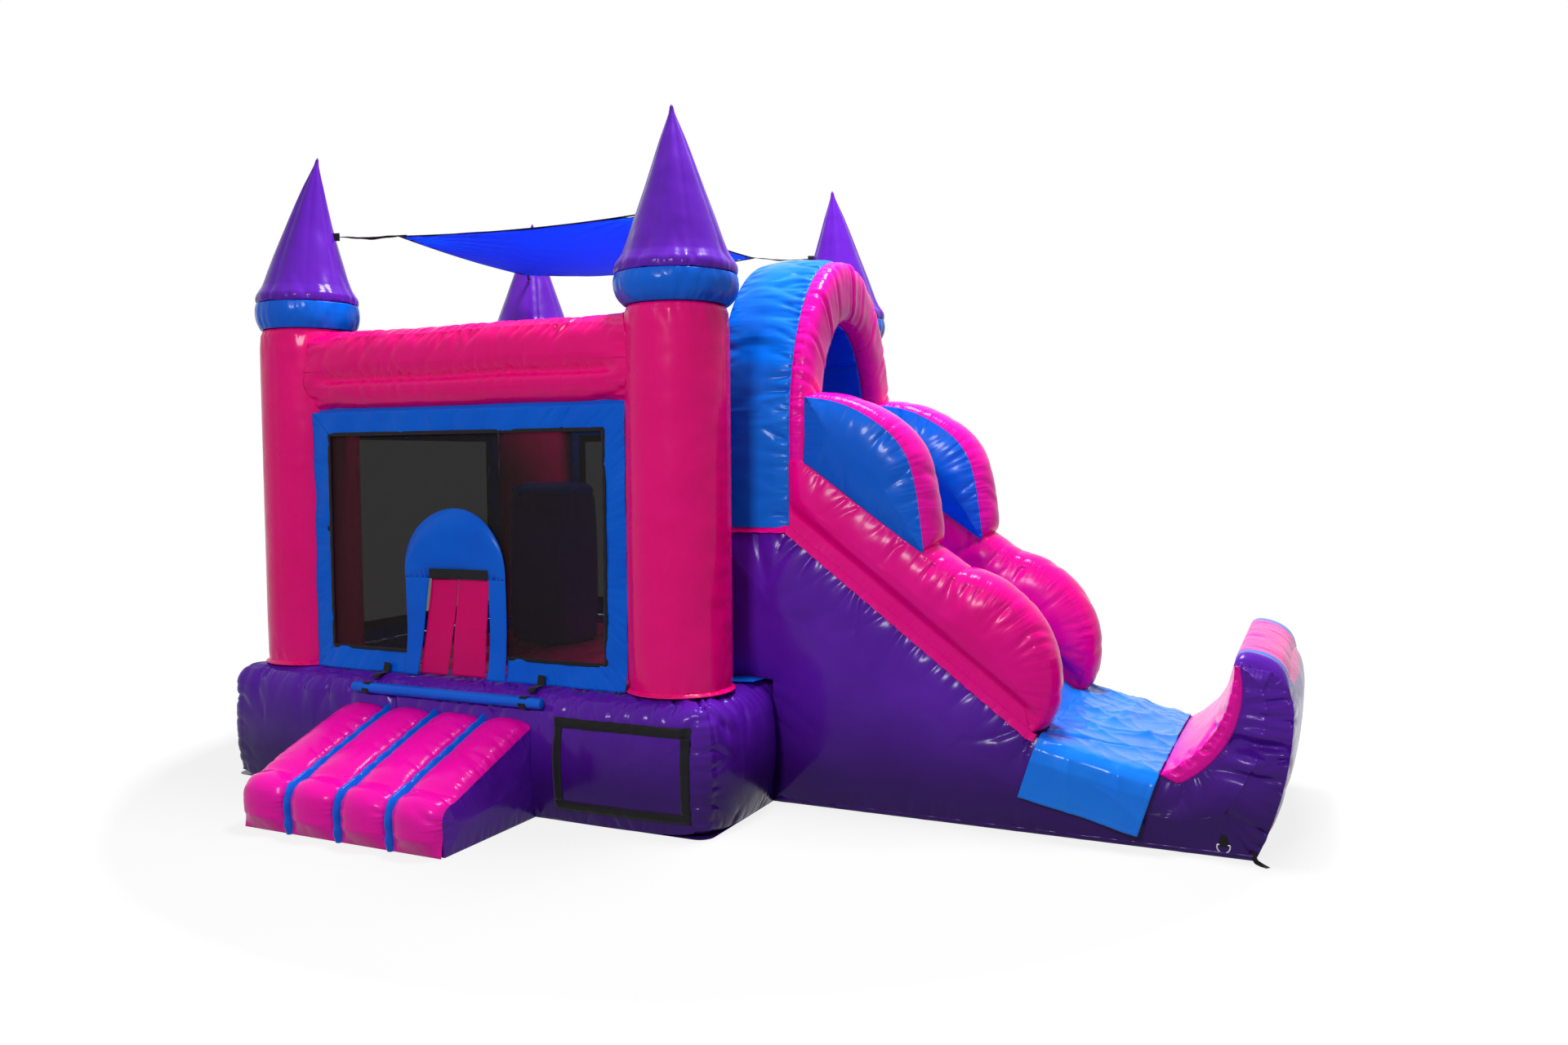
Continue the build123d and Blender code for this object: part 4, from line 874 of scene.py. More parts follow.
def slide():
    (join, y0, _), (_, y1, _), _ = node_box("slide_body")
    (back, _, ledge), _, _ = node_box("platform_block")
    bed_end, end_x = node_box("landing_bed")[1][0], node_box("end_wall")[1][0]
    ground_end, crest = (4.450, 0), (4.520, .965)
    outer = np.concatenate([arc(ground_end, (4.5775, .380), (end_x, .760)),
                            arc((end_x, .760), (4.592, .875), crest)[1:]])
    inner = arc((4.0753, .352), (4.312, .590), (4.366, .985))
    slope = np.concatenate([path(DECK_EDGE, (3.310, .540), (bed_end, .390)), inner, path(crest)])
    outline = (path((back, ledge), (join, ledge), (join, 0), ground_end), outer,
               path((back, DECK_Z), *slope[:2]), path((back, ledge), (back, DECK_Z)), slope[1:])
    cell = CELL * .92
    n_low, n_high = cells(ledge, cell), cells(DECK_Z - ledge, cell)
    lane = np.concatenate([path((join, DECK_Z)), slope])
    style = dict(bulge=.080, swell=(0, .035, 0, 0), depth=(.010, .030, .024, .0, .015), reach=.25, gap=.080,
                 seed=401, soft=.16, push=waist, outline=outline, cell=cell)
    # the slide's walls take the purple with painted shade towards the ground
    skins = (y0, y1, PURPLE_PAINTED_SHADE, PURPLE_PAINTED_SHADE)
    made = chamber((path((join, 0), ground_end), outer, lane, path((join, 0), (join, DECK_Z))), *skins,
                   rows=(n_low, n_high, ledge / DECK_Z), gussets=(0, 1), **style)
    made += chamber(quad((back, ledge), (join, ledge), (join, DECK_Z), (back, DECK_Z)), *skins,
                    rows=(0, n_high, 0), gussets=(0, 2, 3), **style)
    made.append(gusset(path((join, 0), (join, ledge)), n_low, -1, y0, y1, PURPLE_PAINTED_SHADE, cell=.05))
    made.append(gusset(lane, cells(max(length(lane), ground_end[0] - join), cell), -1, y0, y1, PURPLE_PAINTED_SHADE,
                       depth=.012, reach=.1, seed=403, cell=cell, pinch=.02))
    for wall in made:
        paint(wall, [PURPLE_PAINTED_SHADE, BLUE, PINK_PAINTED_LIGHT],
              lambda c: bands(c[:, 1]) * (c[:, 0] > 4.28) * (c[:, 2] > .87) * (np.abs(c[:, 1]) < .757))
    sew("slide_body", made, "purple_vinyl", ["slide_body", "landing_bed", "end_wall", "platform_block"])

    edges = (path((3.982, .392), (4.0753, .352)), inner, path((4.340, .985), (4.366, .985)),
             arc((3.982, .392), (4.235, .615), (4.340, .985)))
    pad = chamber(edges, y0, y1, PINK_PAINTED_LIGHT, PINK_PAINTED_LIGHT, bulge=.016, swell=(0, 0, 0, .045),
                  depth=(0, 0, .004, .022), reach=.15, gap=.050, seed=420, soft=.03, cell=CELL * .8)
    width, over = y1 - y0, .34

    def cap(u, v):
        # one roll over the crest of the lining and of the wall behind it, closed underneath
        t, under = np.clip(v / .8, 0, 1), np.clip((v - .8) / .2, 0, 1)
        full = np.sqrt(np.maximum(0, 1 - (1 - np.clip(to_edge(u, width) / .085, 0, 1)) ** 2))
        folds = both_creases(u * width, t, over, width, (431, .012, .10, .060), (432, .014, .14, .055))
        h = (.092 * crown(t, .5) + folds) * full * (v < .8)
        way = t - under
        x = 4.336 + .262 * way + .018 * np.sin(PI * (t * 2 - 1)) * full
        z = .985 - .112 * np.maximum(way, 0) ** 1.6 + h - .010 * full * crown(under)
        return points(x, y0 + u * width, z), u * width, to_edge(t, over)
    roll = strip(cells(width, CELL * .8), 34, cap, PINK_PAINTED_LIGHT)
    paint(roll, [PURPLE_PAINTED_SHADE, BLUE, PINK_PAINTED_LIGHT], lambda c: bands(c[:, 1]))
    sew("end_wall_lining", pad + [roll], "pink_vinyl")
    welts = [welted(path((join + .02, .012), (4.440, .012)), sign) for _, sign in SIDES]
    sew("slide_welt", welts, "purple_vinyl", [])


def welted(line, sign):
    """The turned-up edge of the bottom sheet, along the foot of the slide's side."""
    def place(u, v):
        x, z = at(line, u).T
        out = .004 + .010 * crown(v, .6) + .003 * np.sin(u * 95) + .002 * np.sin(u * 37 + 1)
        return points(x, sign * (SLIDE_Y + out), z - .010 + .034 * v), u * 2.7, .3
    return strip(cells(length(line)), 6, place, PURPLE_PAINTED_SHADE)


def rail_seam(start, top):
    """The outer seam of a slide's rail: along the top, over its shoulder, down the slope and round its nose."""
    shoulder = eased(path((start, top), (1.955, top), (2.050, 1.968), (2.310, 1.775),
                          (2.700, 1.500), (2.905, 1.365)))
    return np.concatenate([shoulder, arc((2.905, 1.365), (3.376, .880), SLOPE_FOOT, 60)[1:]])


def rails():
    off_slope = (.609, .793)        # the direction straight away from the slope
    rim = path((1.500, DECK_Z + .012), (1.880, DECK_Z + .012), (3.318, .556), (3.345, .546))
    for side, sign in SIDES:
        (x0, y0, _), (_, y1, top), _ = node_box(f"slide_rail_{side}")
        start = (x0 + .001, DECK_Z + .002)
        low, tip = path(start, SLOPE_FOOT), path(SLOPE_FOOT, SLOPE_FOOT)
        over = rail_seam(start[0], top - .001)

        def plump(flat, v):
            return crown(v, .55) * (.045 + .030 * np.clip((flat[:, 0] - 2.0) / .5, 0, 1))

        def taut(flat, d, x0=start[0]):
            # the rail is drawn in along a seam a hand's width above the slope
            rise = (flat[:, 0] - DECK_EDGE[0]) * off_slope[0] + (flat[:, 1] - DECK_Z) * off_slope[1]
            out = np.clip((rise - .085) / .055, 0, 1)
            full = .062 * (1 - fading(d, .12)) * (1 - out + out * fading(flat[:, 0] - x0, .04))
            drawn = .009 * np.clip(rise / .10, 0, 1) * (1 - out)
            return -full - drawn - .004 * groove(rise - .105, .016) * (1 - fading(d, .05))
        made = chamber((low, tip, over, path(start, (start[0], top - .001))), y0, y1, RAIL_PINK, RAIL_PINK,
                       bulge=.062, swell=(0, 0, plump, 0), depth=(.003, 0, .015, 0), reach=.12, gap=.068,
                       seed=450 + 10 * sign, soft=.12, cell=CELL * .8, pinch=.04, push=taut,
                       outline=(low, tip, over, tip))

        def flap(u, v, sign=sign):
            # sewn over the edge of the slide
            spot, left = beside(rim, u)
            spot = moved(spot, left, -(v * .042 + .0015 * np.sin(u * 143) * v))
            out = .003 + .026 * v**.8 + .0015 * np.sin(u * 190 + 2 * np.sin(u * 31)) * v
            return in_space(spot, sign * (SLIDE_Y + out), "y"), u * 2.2, .02
        made.append(strip(cells(2.2, CELL * .7), 7, flap, RAIL_PINK))
        sew(f"slide_rail_{side}", made, "pink_vinyl")


def wings():
    x0, top = 1.982, 2.405
    bow = eased(path((x0, top), (2.160, 2.380), (2.310, 2.322), (2.460, 2.228), (2.550, 2.145), (2.620, 2.035),
                     (2.662, 1.870), (2.686, 1.700), (2.706, 1.525)))
    seam = rail_seam(1.8813, 2.029)
    seam = seam[(seam[:, 0] >= 1.97) & (seam[:, 0] <= 2.700) & (seam[:, 1] > 1.3)]
    low = np.concatenate([path((x0, seam[0, 1] + .002)), seam + [0, .006], bow[-1:]])

    def plump(flat, v):
        return crown(v, .5) * (.045 + .040 * np.clip((flat[:, 0] - 2.1) / .5, 0, 1))
    for side, sign in SIDES:
        (_, y0, _), (_, y1, _), _ = node_box(f"side_wing_{side}")
        made = chamber((low, path(low[-1], low[-1]), bow, path(low[0], (x0, top))), y0, y1, BLUE, PINK_PAINTED_LIGHT,
                       bulge=.055, swell=(0, 0, plump, 0), depth=(.006, 0, .010, .004), reach=.09, gap=.050,
                       seed=490 + 10 * sign, soft=.10, cell=CELL * .8, pinch=.03)
        sew(f"side_wing_{side}", made, "blue_vinyl")


def slide_cover():
    lane_y, turn_x, end_x, drop = .474, 3.362, 3.985, .325
    line = path((1.895, DECK_Z - .012), SLOPE_FOOT, (3.980, .392)).T

    def height(x):
        return np.interp(x, *line)

    def lane(u, v):
        x, y = 1.90 + (turn_x - 1.90) * u, -lane_y + 2 * lane_y * v
        z = height(x) + .008 + .020 * crumple(x, y, 7) + .02 * fading(to_edge(v, 2 * lane_y), .03)
        return points(x, y, z), u * 2, NO_SEAM

    def landing(u, v):
        flat = SLIDE_Y + .052
        total = 2 * (flat + drop)
        w = v * total - total / 2
        x = turn_x + (end_x - turn_x) * u
        y = np.clip(w, -flat, flat)
        fall = np.maximum(np.abs(w) - flat, 0)
        hangs = fall > 0
        edge = fading(np.abs(np.abs(w) - flat), .03)
        folds = .070 * crumple(x * 1.1, y, 11, 9, 7.0) + .026 * crumple(x, y, 17, 10, 15.0)
        # the sheet is drawn into a groove where bed and slope meet the rails
        folds -= .030 * hump(y + .60 - .42 * (x - 3.42), .020) * hump(x - 3.60, .24)
        z = height(x) + .010 + folds * ~hangs - fall * .985 - .012 * edge
        x = x - .30 * fall
        begun = np.clip(fall / .05, 0, 1)
        out = .012 * begun + .028 * np.clip(fall / .12, 0, 1) + .010 * np.sin(13 * x + 2) * fall / drop
        y = y + np.sign(w) * (hangs * (out + .034 * crumple(x, z, 13, 8, 9.0) * begun) - .012 * edge)
        stitched = .0022 * hump(np.minimum(total / 2 - np.abs(w), to_edge(u, .62)) - .030, .006)
        return points(x, y - np.sign(w) * stitched * hangs, z - stitched * ~hangs), u * .62, NO_SEAM
    cell = CELL * .7
    strips = [strip(cells(1.85), cells(2 * lane_y, .02), lane, COVER),
              strip(cells(.64, cell), cells(2.28, cell), landing, COVER)]
    piece = single("slide_cover", strips, "blue_vinyl", .003, -1.0)


# ================================================================ arch
def ellipse(half, rise, foot, spring, count=400):
    """An arch in (Y, Z): a leg from the foot up on the -Y side, half an ellipse from the height spring, and the
    other leg."""
    t = np.linspace(0, PI, count)
    over = points(-half * np.cos(t), spring + rise * np.sin(t))
    return np.concatenate([path((-half, foot)), over, path((half, foot))])


def cross_seams(u, run, marks, wide=.013):
    """Seams across a strip, each a pair of its share of the way along and its depth."""
    h = np.zeros_like(u)
    for t, deep in marks:
        x = (u - t) * run
        h += deep * (.3 * hump(np.abs(x) - .04, .022) - groove(x, wide))
    return h


def arch():
    (x0, _, foot), (x1, half, top), _ = node_box("arch_band")
    (face_x0, _, ring_foot), (face_x1, _, _), _ = node_box("arch_ring")
    spring, pass_half, pass_rise = 2.200, .480, .700

    def both(foot):
        return ellipse(half, top - spring, foot, spring), ellipse(pass_half, pass_rise, foot, spring)
    outer, inner = both(foot)
    run, run_in, wide = length(outer), length(inner), x1 - x0
    over_seams = [(t, .006) for t in (.16, .27, .38, .5, .62, .73, .84)]
    under_seams = [(t, .020) for t in (.12, .25, .35, .45, .55, .65, .75, .88)]

    def over(u, v):
        spot, face = beside(outer, u)
        h = .034 * crown(v, .5) + cross_seams(u, run, over_seams, .03) * crown(v, .5)
        h += both_creases(u * run, v, wide, run, (601, .016, .10, .042), (602, .026, .16, .036))
        return in_space(moved(spot, face, h * off_rim(v)), x0 + v * wide, "x"), u * run, to_edge(v, wide)

    def under(u, v):
        spot, face = beside(inner, u)
        h = .026 * crown(v, .5) + cross_seams(u, run_in, under_seams)
        h += both_creases(u * run_in, v, wide, run_in, (603, .009, .08, .045), (604, .010, .09, .045))
        return in_space(moved(spot, face, -h * off_rim(v)), x0 + v * wide, "x"), u * run_in, to_edge(v, wide)

    def wall(x, sign, seed):
        def place(u, v):
            a, b = at(outer, u), at(inner, u)
            deep = np.linalg.norm(a - b, axis=1)
            h = .02 * crown(v) + creases(u * run, (1 - v) * deep, run, seed, .009, .08, .045)
            return in_space(moved(b, a - b, v), x + sign * h * off_rim(v), "x"), u * run, to_edge(v, deep)
        return place
    nu, nv = cells(run, CELL * .75), cells(wide, CELL * .8)
    # the band's top strip and its front wall take the lighter blue of painted light from above
    band = [strip(nu, nv, over, BLUE_PAINTED_LIGHT), strip(nu, nv, under, DEEP_BLUE),
            strip(nu, cells(.3), wall(x0, -1, 605), BLUE), strip(nu, 2, wall(x1, 0, 606), BLUE_PAINTED_LIGHT)]
    sew("arch_band", band, "blue_vinyl")

    outer, inner = both(ring_foot + .001)
    run, deep, back_x, round_run = length(outer), face_x1 - face_x0 + .016, face_x0 + .001, .44
    marks = [(.085, .012), (.150, .014), (.235, .010), (.330, .020), (.405, .009), (.500, .026), (.560, .009),
             (.655, .019), (.760, .012), (.850, .014), (.93, .010)]

    def ring(u, v):
        # v runs from the outer seam round the front to the inner seam
        a, b = at(outer, u), at(inner, u)
        cos, sin = np.cos(PI * v), np.sin(PI * v)
        h = both_creases(u * run, v, round_run, run, (610, .014, .10, .040), (611, .012, .10, .045))
        h = (h + .62 * cross_seams(u, run, marks, .010) * sin ** .5) * off_rim(v)
        side, ahead = power(cos, .60), power(sin, .62)
        spot = moved((a + b) / 2, (a - b) / 2, side * (1 + h / .16) + .05 * np.sin(PI * v * 2) * (side > 0))
        return in_space(spot, back_x + deep * ahead + h * sin, "x"), u * run, to_edge(v, round_run)

    def back(u, v):
        a, b = at(outer, u), at(inner, u)
        return in_space(moved(a, b - a, v), back_x, "x"), u * run, NO_SEAM
    nu = cells(run, CELL * .7)
    ring_strips = [strip(nu, cells(.46, CELL * .8), ring, PINK_PAINTED_LIGHT), strip(nu, 2, back, PINK_PAINTED_LIGHT)]
    sew("arch_ring", ring_strips, "pink_vinyl")


# ================================================================ entrance ramp
def ramp():
    (x0, y0, _), (x1, y1, top), _ = node_box("ramp_cushion")
    gap, nose, nose_top, sink, lanes = .042, .120, .300, .034, 4
    lane = (x1 - x0 - (lanes - 1) * gap) / lanes
    slope_end = (y0 + nose, nose_top)
    round_nose = arc(slope_end, (y0 + nose * .293, nose_top - nose * .293), (y0, nose_top - nose))[1:]
    line = np.concatenate([path((y1 - .002, top), slope_end), round_nose,
                           path((y0 + .004, .090), (y0 + .016, .001))])
    run = length(line)
    n_run = cells(run, CELL * .85)
    bend = length(path((y1, top), slope_end)) / run

    def surface(u, x, h):
        """A point on the ramp. u runs from the house down to the ground, and h is the height over the slope."""
        flat, left = beside(line, u)
        rest = np.clip((1 - u) * run / .10, 0, 1)       # 0 at the ground
        return in_space(moved(flat, left, -(h(rest) - .006 * (1 - rest))), x, "x")
    pads, ribs = [], []
    for i in range(lanes):
        start = x0 + i * (lane + gap)
        first, last = (.012, .10) if i == 0 else (.009, .07), (.016, .13) if i == lanes - 1 else (.009, .07)

        def pad(u, v, i=i, start=start, first=first, last=last):
            s, across = u * run, v * lane
            past = (u - bend) * run
            h = .078 * crown(v, .5) * (.30 + .70 * (1 - fading(s, .05))) * (1 - .30 * hump(past, .07))
            h += both_creases(s, v, lane, run, (700 + i, *first, .052), (710 + i, *last, .052))
            h += both_creases(across, u, run, lane, (720 + i, .010, .08, .05), (730 + i, .010, .07, .06))
            # the top is pinched where the slope turns into the nose
            h -= .010 * hump((u - bend - .02) * run, .018) * (1 - crown(v, .8))
            spot = surface(u, start + across, lambda rest: (h * off_rim(v) - sink) * rest)
            return spot, s, to_edge(v, lane)
        pads.append(strip(n_run, cells(lane, CELL * .85), pad, PINK_PAINTED_LIGHT))
        if i < lanes - 1:
            def rib(u, v, start=start + lane):
                h = .046 * crown(v, .4) + .004 * np.sin(u * 60) * crown(v)
                spot = surface(u, start + v * gap, lambda rest: h * np.clip(rest + .3, 0, 1) - sink * rest)
                return spot, u * run, NO_SEAM
            ribs.append(strip(n_run, 4, rib, BLUE))
    sew("ramp_cushion", pads, "pink_vinyl")
    sew("ramp_stripes", ribs, "blue_vinyl", pad=False)

    # the purple body: two sides whose upper edge is the seam of the outer pads
    flat, left = beside(line, np.linspace(0, 1, 160))
    rim = flat + left * sink
    rim[:, 1] = np.maximum(rim[:, 1], 0)
    foot, back = (rim[-1][0], 0), (y1 - .002, 0)
    toe = path(foot, (foot[0], max(rim[-1][1], .001)))
    body = chamber((path(foot, back), path(back, rim[0]), rim[::-1], toe), x0 + .001, x1 - .001, PURPLE, PURPLE,
                   across="x", depth=(.004, 0, .010, 0), reach=.11, gap=.05, seed=750, soft=.10)
    sew("ramp_body", body, "purple_vinyl")


# ================================================================ walls and door
def on_wall(side):
    """Puts (along, height, out) points on a wall of the house."""
    def put(a, z, out):
        if side == "left":
            return points(-WALL_X - out, a, z)
        return points(a, (WALL_Y + out) * (-1 if side == "front" else 1), z)
    return put


def windows():
    (door_x0, _, _), (door_x1, _, _), _ = node_box("door_panel")
    wide, tuck, over_door = .140, .045, 1.37
    faces = {"front": (0, -1, 0), "back": (0, 1, 0), "left": (-1, 0, 0)}
    for n, (side, face) in enumerate(faces.items()):
        a = 1 if side == "left" else 0
        lo, hi, _ = node_box(f"{side}_window_border")
        a0, a1, z0, z1 = lo[a], hi[a], lo[2], hi[2]
        put = on_wall(side)
        outer, inner = (path((a0 + d, z0 + d), (a1 - d, z0 + d), (a1 - d, z1 - d), (a0 + d, z1 - d),
                             (a0 + d, z0 + d)) for d in (0, wide))
        runs = [(outer[k:k + 2], inner[k:k + 2]) for k in range(4)]
        if side == "front":
            # the door stands in the lower border
            (o0, o1), (i0, i1) = runs[0]
            runs[:1] = [(path(o0, (door_x0, z0)), path(i0, (door_x0, z0 + wide))),
                        (path((door_x1, z0), o1), path((door_x1, z0 + wide), i1))]
        strips = []
        for k, (o, i) in enumerate(runs):
            run = length(o)

            def band(u, v, o=o, i=i, run=run, seed=800 + 20 * n + k):
                x, z = between(between(*o, u), between(*i, u), v).T
                h = both_creases(u * run, v, wide, run, (seed, .011, .12, .050), (seed + 7, .006, .07, .050))
                h += .006 * np.sin(x * 9 + z * 5) + .004 * np.sin(x * 23 - z * 17) + .008 * crown(v)
                low = np.clip((z0 + .16 - z) / .16, 0, 1)
                h += .030 * low**2 + .010 * low * np.sin(x * 7 + 1)
                return put(x, z, h * .8), u * run, to_edge(v, wide)
            strips.append(strip(cells(run), cells(wide, CELL * .8), band, BLUE_FLAT))

        def hem(u, v):
            # the border's upper edge is sewn to the underside of the tube
            return put(a0 + (a1 - a0) * u, z1 - .012 + .072 * v, -.006 - .084 * v), u * (a1 - a0), v * .1
        strips.append(strip(cells(a1 - a0, .04), 5, hem, BLUE_FLAT))
        # black tape along the edge of the net
        for _, i in runs:
            line = put(*between(*i, np.linspace(0, 1, 40)).T, np.full(40, .0075))
            strips.append(ribbon(line, .024, face, TAPE, wave=.0012))
        single(f"{side}_window_border", strips, "blue_vinyl")

        lo, hi, _ = node_box(f"{side}_window_mesh")
        n0, n1, m0, m1 = lo[a], hi[a], lo[2], hi[2]
        parts, hole = [(n0, n1, m0)], 0
        if side == "front":
            left, right = door_x0 + tuck, door_x1 - tuck
            parts = [(n0, left, m0), (right, n1, m0), (left, right, over_door)]
            hole = (right - left) * (over_door - m0)
        nets = []
        for x0, x1, foot in parts:
            def net(u, v):
                x, z = x0 + (x1 - x0) * u, foot + (m1 - foot) * v
                return put(x, z, -.006 + .004 * np.sin(3 * x + n) * np.sin(4 * z)), x, NO_SEAM
            nets.append(strip(cells(x1 - x0, .06), cells(m1 - foot, .06), net, NET_AND_PAINTED_SHADE))
        sheet = single(f"{side}_window_mesh", nets, "mesh", thick=0)


def door():
    (x0, _, z0), (x1, _, top), (middle, _, _) = node_box("door_panel")
    strip_top, spring, hinge = 1.3333, 1.370, 1.330
    open_x0, foot_x0, open_x1 = -.231, -.320, .211
    put = on_wall("front")

    def drape(x, z):
        h = .012 + .010 * np.sin(8 * x + 3 * z) + .014 * crumple(x * .8, z * .8, 21, 8, 7.0)
        return h + .035 * np.clip((z0 + .35 - z) / .35, 0, 1) ** 2

    def part(low, right, over, left):
        def place(u, v):
            x, z = patch((low, right, over, left), u, v).T
            return put(x, z, drape(x, z)), x, .3
        nu, nv = (cells(max(length(a), length(b))) for a, b in ((low, over), (left, right)))
        return strip(nu, nv, place, BLUE_FLAT)
    t = np.linspace(0, PI, 80)
    over = points(middle - (x1 - x0) / 2 * np.cos(t), spring + (top - spring) * np.sin(t))
    low, right, _, left = quad((x0, strip_top), (x1, strip_top), (x1, spring), (x0, spring))
    strips = [part(*quad((x0, z0), (foot_x0, z0), (open_x0, strip_top), (x0, strip_top))),
              part(*quad((open_x1, z0), (x1, z0), (x1, strip_top), (open_x1, strip_top))),
              part(low, right, over, left)]
    single("door_panel", strips, "blue_vinyl", merge=.002)
    (strip_x0, _, strip_z0), (strip_x1, _, strip_z1), (_, _, z) = node_box("door_strip")
    x, z = np.linspace(strip_x0, strip_x1, 24), np.full(24, z)
    tapes("door_strip", [ribbon(put(x, z, drape(x, z) + .006), strip_z1 - strip_z0, (0, -1, 0), TAPE)])
    for side, head, foot, phase, seed in (("left", (-.226, -.020), (-.315, -.104), 2, 31),
                                          ("right", (-.016, .206), (-.086, .170), 0, 37)):
        low = node_box(f"door_flap_{side}")[0][2] + .001

        def flap(u, v):
            z = hinge - (hinge - low) * v
            x = (head[0] + (head[1] - head[0]) * u) * (1 - v) + (foot[0] + (foot[1] - foot[0]) * u) * v
            out = .006 * np.sin(7 * z + phase) * v + .012 * v**2
            return put(x, z, out + .010 * crumple(x, z, seed, 6, 9.0) * np.clip(v * 4, 0, 1)), u * .2, .3
        made = [strip(cells(.2, CELL * .7), cells(.6, CELL * .8), flap, PINK_FLAT)]
        piece = single(f"door_flap_{side}", made, "pink_vinyl", .003, body=f"flap_{side}")


def bumper():
    (x0, _, z0), (x1, _, z1), (_, y, z) = node_box("step_bumper")
    r, run, end = (z1 - z0) / 2, x1 - x0, .012
    line = [(0, 0), (r * .8, .002), (r, end), (r * 1.01, .2), (r, run - end), (r * .8, run - .002), (0, run)]
    roll = turned((x0, y, z), line, BLUE, axis="x", cell=.010,
                  seams=[(.004, 760, .004, .06, .025), (run - .004, 761, .004, .06, .025)])
    sew("step_bumper", [roll], "blue_vinyl")
    (x0, _, _), (x1, _, _), _ = node_box("bumper_straps")
    t = np.linspace(-1.6, 3.9, 60)
    faces = points(0 * t, np.sin(t), -np.cos(t))
    loops = []
    for x in (x0 + WEBBING / 2, x1 - WEBBING / 2):
        tail = [(x + .006, -1.585, BASE_TOP - .012), (x, -1.54, BASE_TOP + .004),
                (x - .004, -WALL_Y - .05, BASE_TOP + .006), (x - .006, -WALL_Y - .042, BASE_TOP + .03),
                (x - .004, -WALL_Y - .038, BASE_TOP + .062)]
        tail_faces = [(0, -.3, 1), (0, -.1, 1), (0, -.5, .8), (0, -1, .1), (0, -1, 0)]
        loops.append(ribbon((x, y, z) + (r + .003) * faces, WEBBING, faces, TAPE, 50))
        loops.append(ribbon(tail, WEBBING, tail_faces, TAPE, 30, .001))
    tapes("bumper_straps", loops)


def banner_frame():
    (x0, y0, z0), (x1, _, z1), _ = node_box("banner_frame")
    wide, half = .055, .055 / 2
    bars = (((x0, z0 + half), (x1, z0 + half)), ((x0, z1 - half), (x1, z1 - half)),
            ((x0 + half, z0 + wide), (x0 + half, z1 - wide)), ((x1 - half, z0 + wide), (x1 - half, z1 - wide)))
    t = np.linspace(0, 1, 30)
    strips = [ribbon(in_space(between(*path(a, b), t), y0 - .3, "y"), wide, (0, -1, 0), TAPE) for a, b in bars]
    piece = single("banner_frame", strips, "black_webbing", thick=0, merge=.0001)
    altered(piece, "SHRINKWRAP", target=bpy.data.objects["base"], wrap_method="PROJECT", use_project_y=True,
            use_negative_direction=False, use_positive_direction=True, offset=.0035)
    altered(piece, "SOLIDIFY", thickness=.003, offset=0)


# ================================================================ sail
def canopy():
    corners = path((-.800, -1.000, 3.522), (1.050, -.970, 3.503), (.850, .900, 3.540), (-1.200, .900, 3.566))
    after = np.roll(corners, -1, 0)
    drops = (.016, .010, .060, .035)        # how far each edge hangs down
    t = np.linspace(0, 1, 50)
    hems = []
    for a, b, drop in zip(corners, after, drops):
        run = b - a
        into = np.array([-run[1], run[0]]) / np.linalg.norm(run[:2]) * .045
        hems.append(between(a, b, t) + np.outer(4 * t * (1 - t), [*into, -drop]))
    edges = hems[0], hems[1], hems[2][::-1], hems[3][::-1]

    def place(u, v):
        spot = patch(edges, u, v)
        spot[:, 2] -= .035 * crown(u, 1) * crown(v, 1)
        # pull lines run from the corners
        for c in corners:
            x, y = (spot[:, :2] - c[:2]).T
            d = np.hypot(x, y)
            spot[:, 2] += .010 * np.sin(np.arctan2(y, x) * 26) * fading(d, .35) * np.clip(d / .1, 0, 1)
        spot[:, 2] += .004 * np.sin(spot[:, 0] * 8 + spot[:, 1] * 3)
        return spot, u * 2, NO_SEAM
    piece = single("canopy", [strip(90, 84, place, SAIL)], "sail_fabric", .002)
    hem = tapes("canopy_hem", [ribbon(line, .022, (0, 0, 1), SAIL_HEM, 90) for line in hems],
                "sail_fabric", [], .005)
    straps, up = [], np.array([0, 0, 1])
    for c, corner in zip(corners, ("front_left", "front_right", "back_right", "back_left")):
        centre = np.array(node_box(f"spire_{corner}")[2])
        way = unit((c - centre)[None, :2])[0]
        z = (c[2] + 3.53) / 2
        r = .284 - .117 * (z - 3.237) / .326        # of the spire at that height
        tab, hole = (np.array([*(centre[:2] + way * reach), z]) for reach in (r - .004, r + .050))
        line = [c + [*way * .05, .004], c + [0, 0, .004], (hole + c) / 2 - up * .012, hole]
        side = np.array([-way[1], way[0], 0])
        straps.append(ribbon(line, .025, [up, up, side * .5 + up * .8, up], TAPE, 60, .0015))
        tab_mat = BLUE_FLAT if corner == "front_right" else TAPE
        straps.append(ribbon([tab, (tab + hole) / 2, hole], .052, side, tab_mat, 10))
    tapes("canopy_straps", straps)


# ================================================================ inside
def popup_column():
    (x0, y0, z0), (x1, y1, z1), (x, y, _) = node_box("popup_column")
    half, cap = ((x1 - x0) / 2, (y1 - y0) / 2), z1 - .090
    middle = half[1] - .001
    profile = [(middle, z0), (.03, z0), (.0, z0 + .03),
               *[(0, z) for z in np.linspace(z0 + .06, cap - .03, cells(cap - z0, .02))], (.012, cap),
               (0, cap + .012), (.006, cap + .035), (.03, cap + .062), (.07, cap + .080), (.12, cap + .088),
               (middle, cap + .090)]

    def push(flat, inset, z, k, t, s, row):
        d = np.abs(z - cap)
        belly = .02 * np.sin(PI * np.clip((z - z0) / (cap - z0), 0, 1)) ** .6
        return (creases(s, d, 2.0, 900, .010, .10, .05) + belly) * (inset < .03), 0, d
    column = boxed((x, y, 0), half, .10, profile, PURPLE, .02, push)
    paint(column, [PURPLE, BLUE], lambda c: c[:, 2] > cap + .004)
    sew("popup_column", [column], "purple_vinyl")


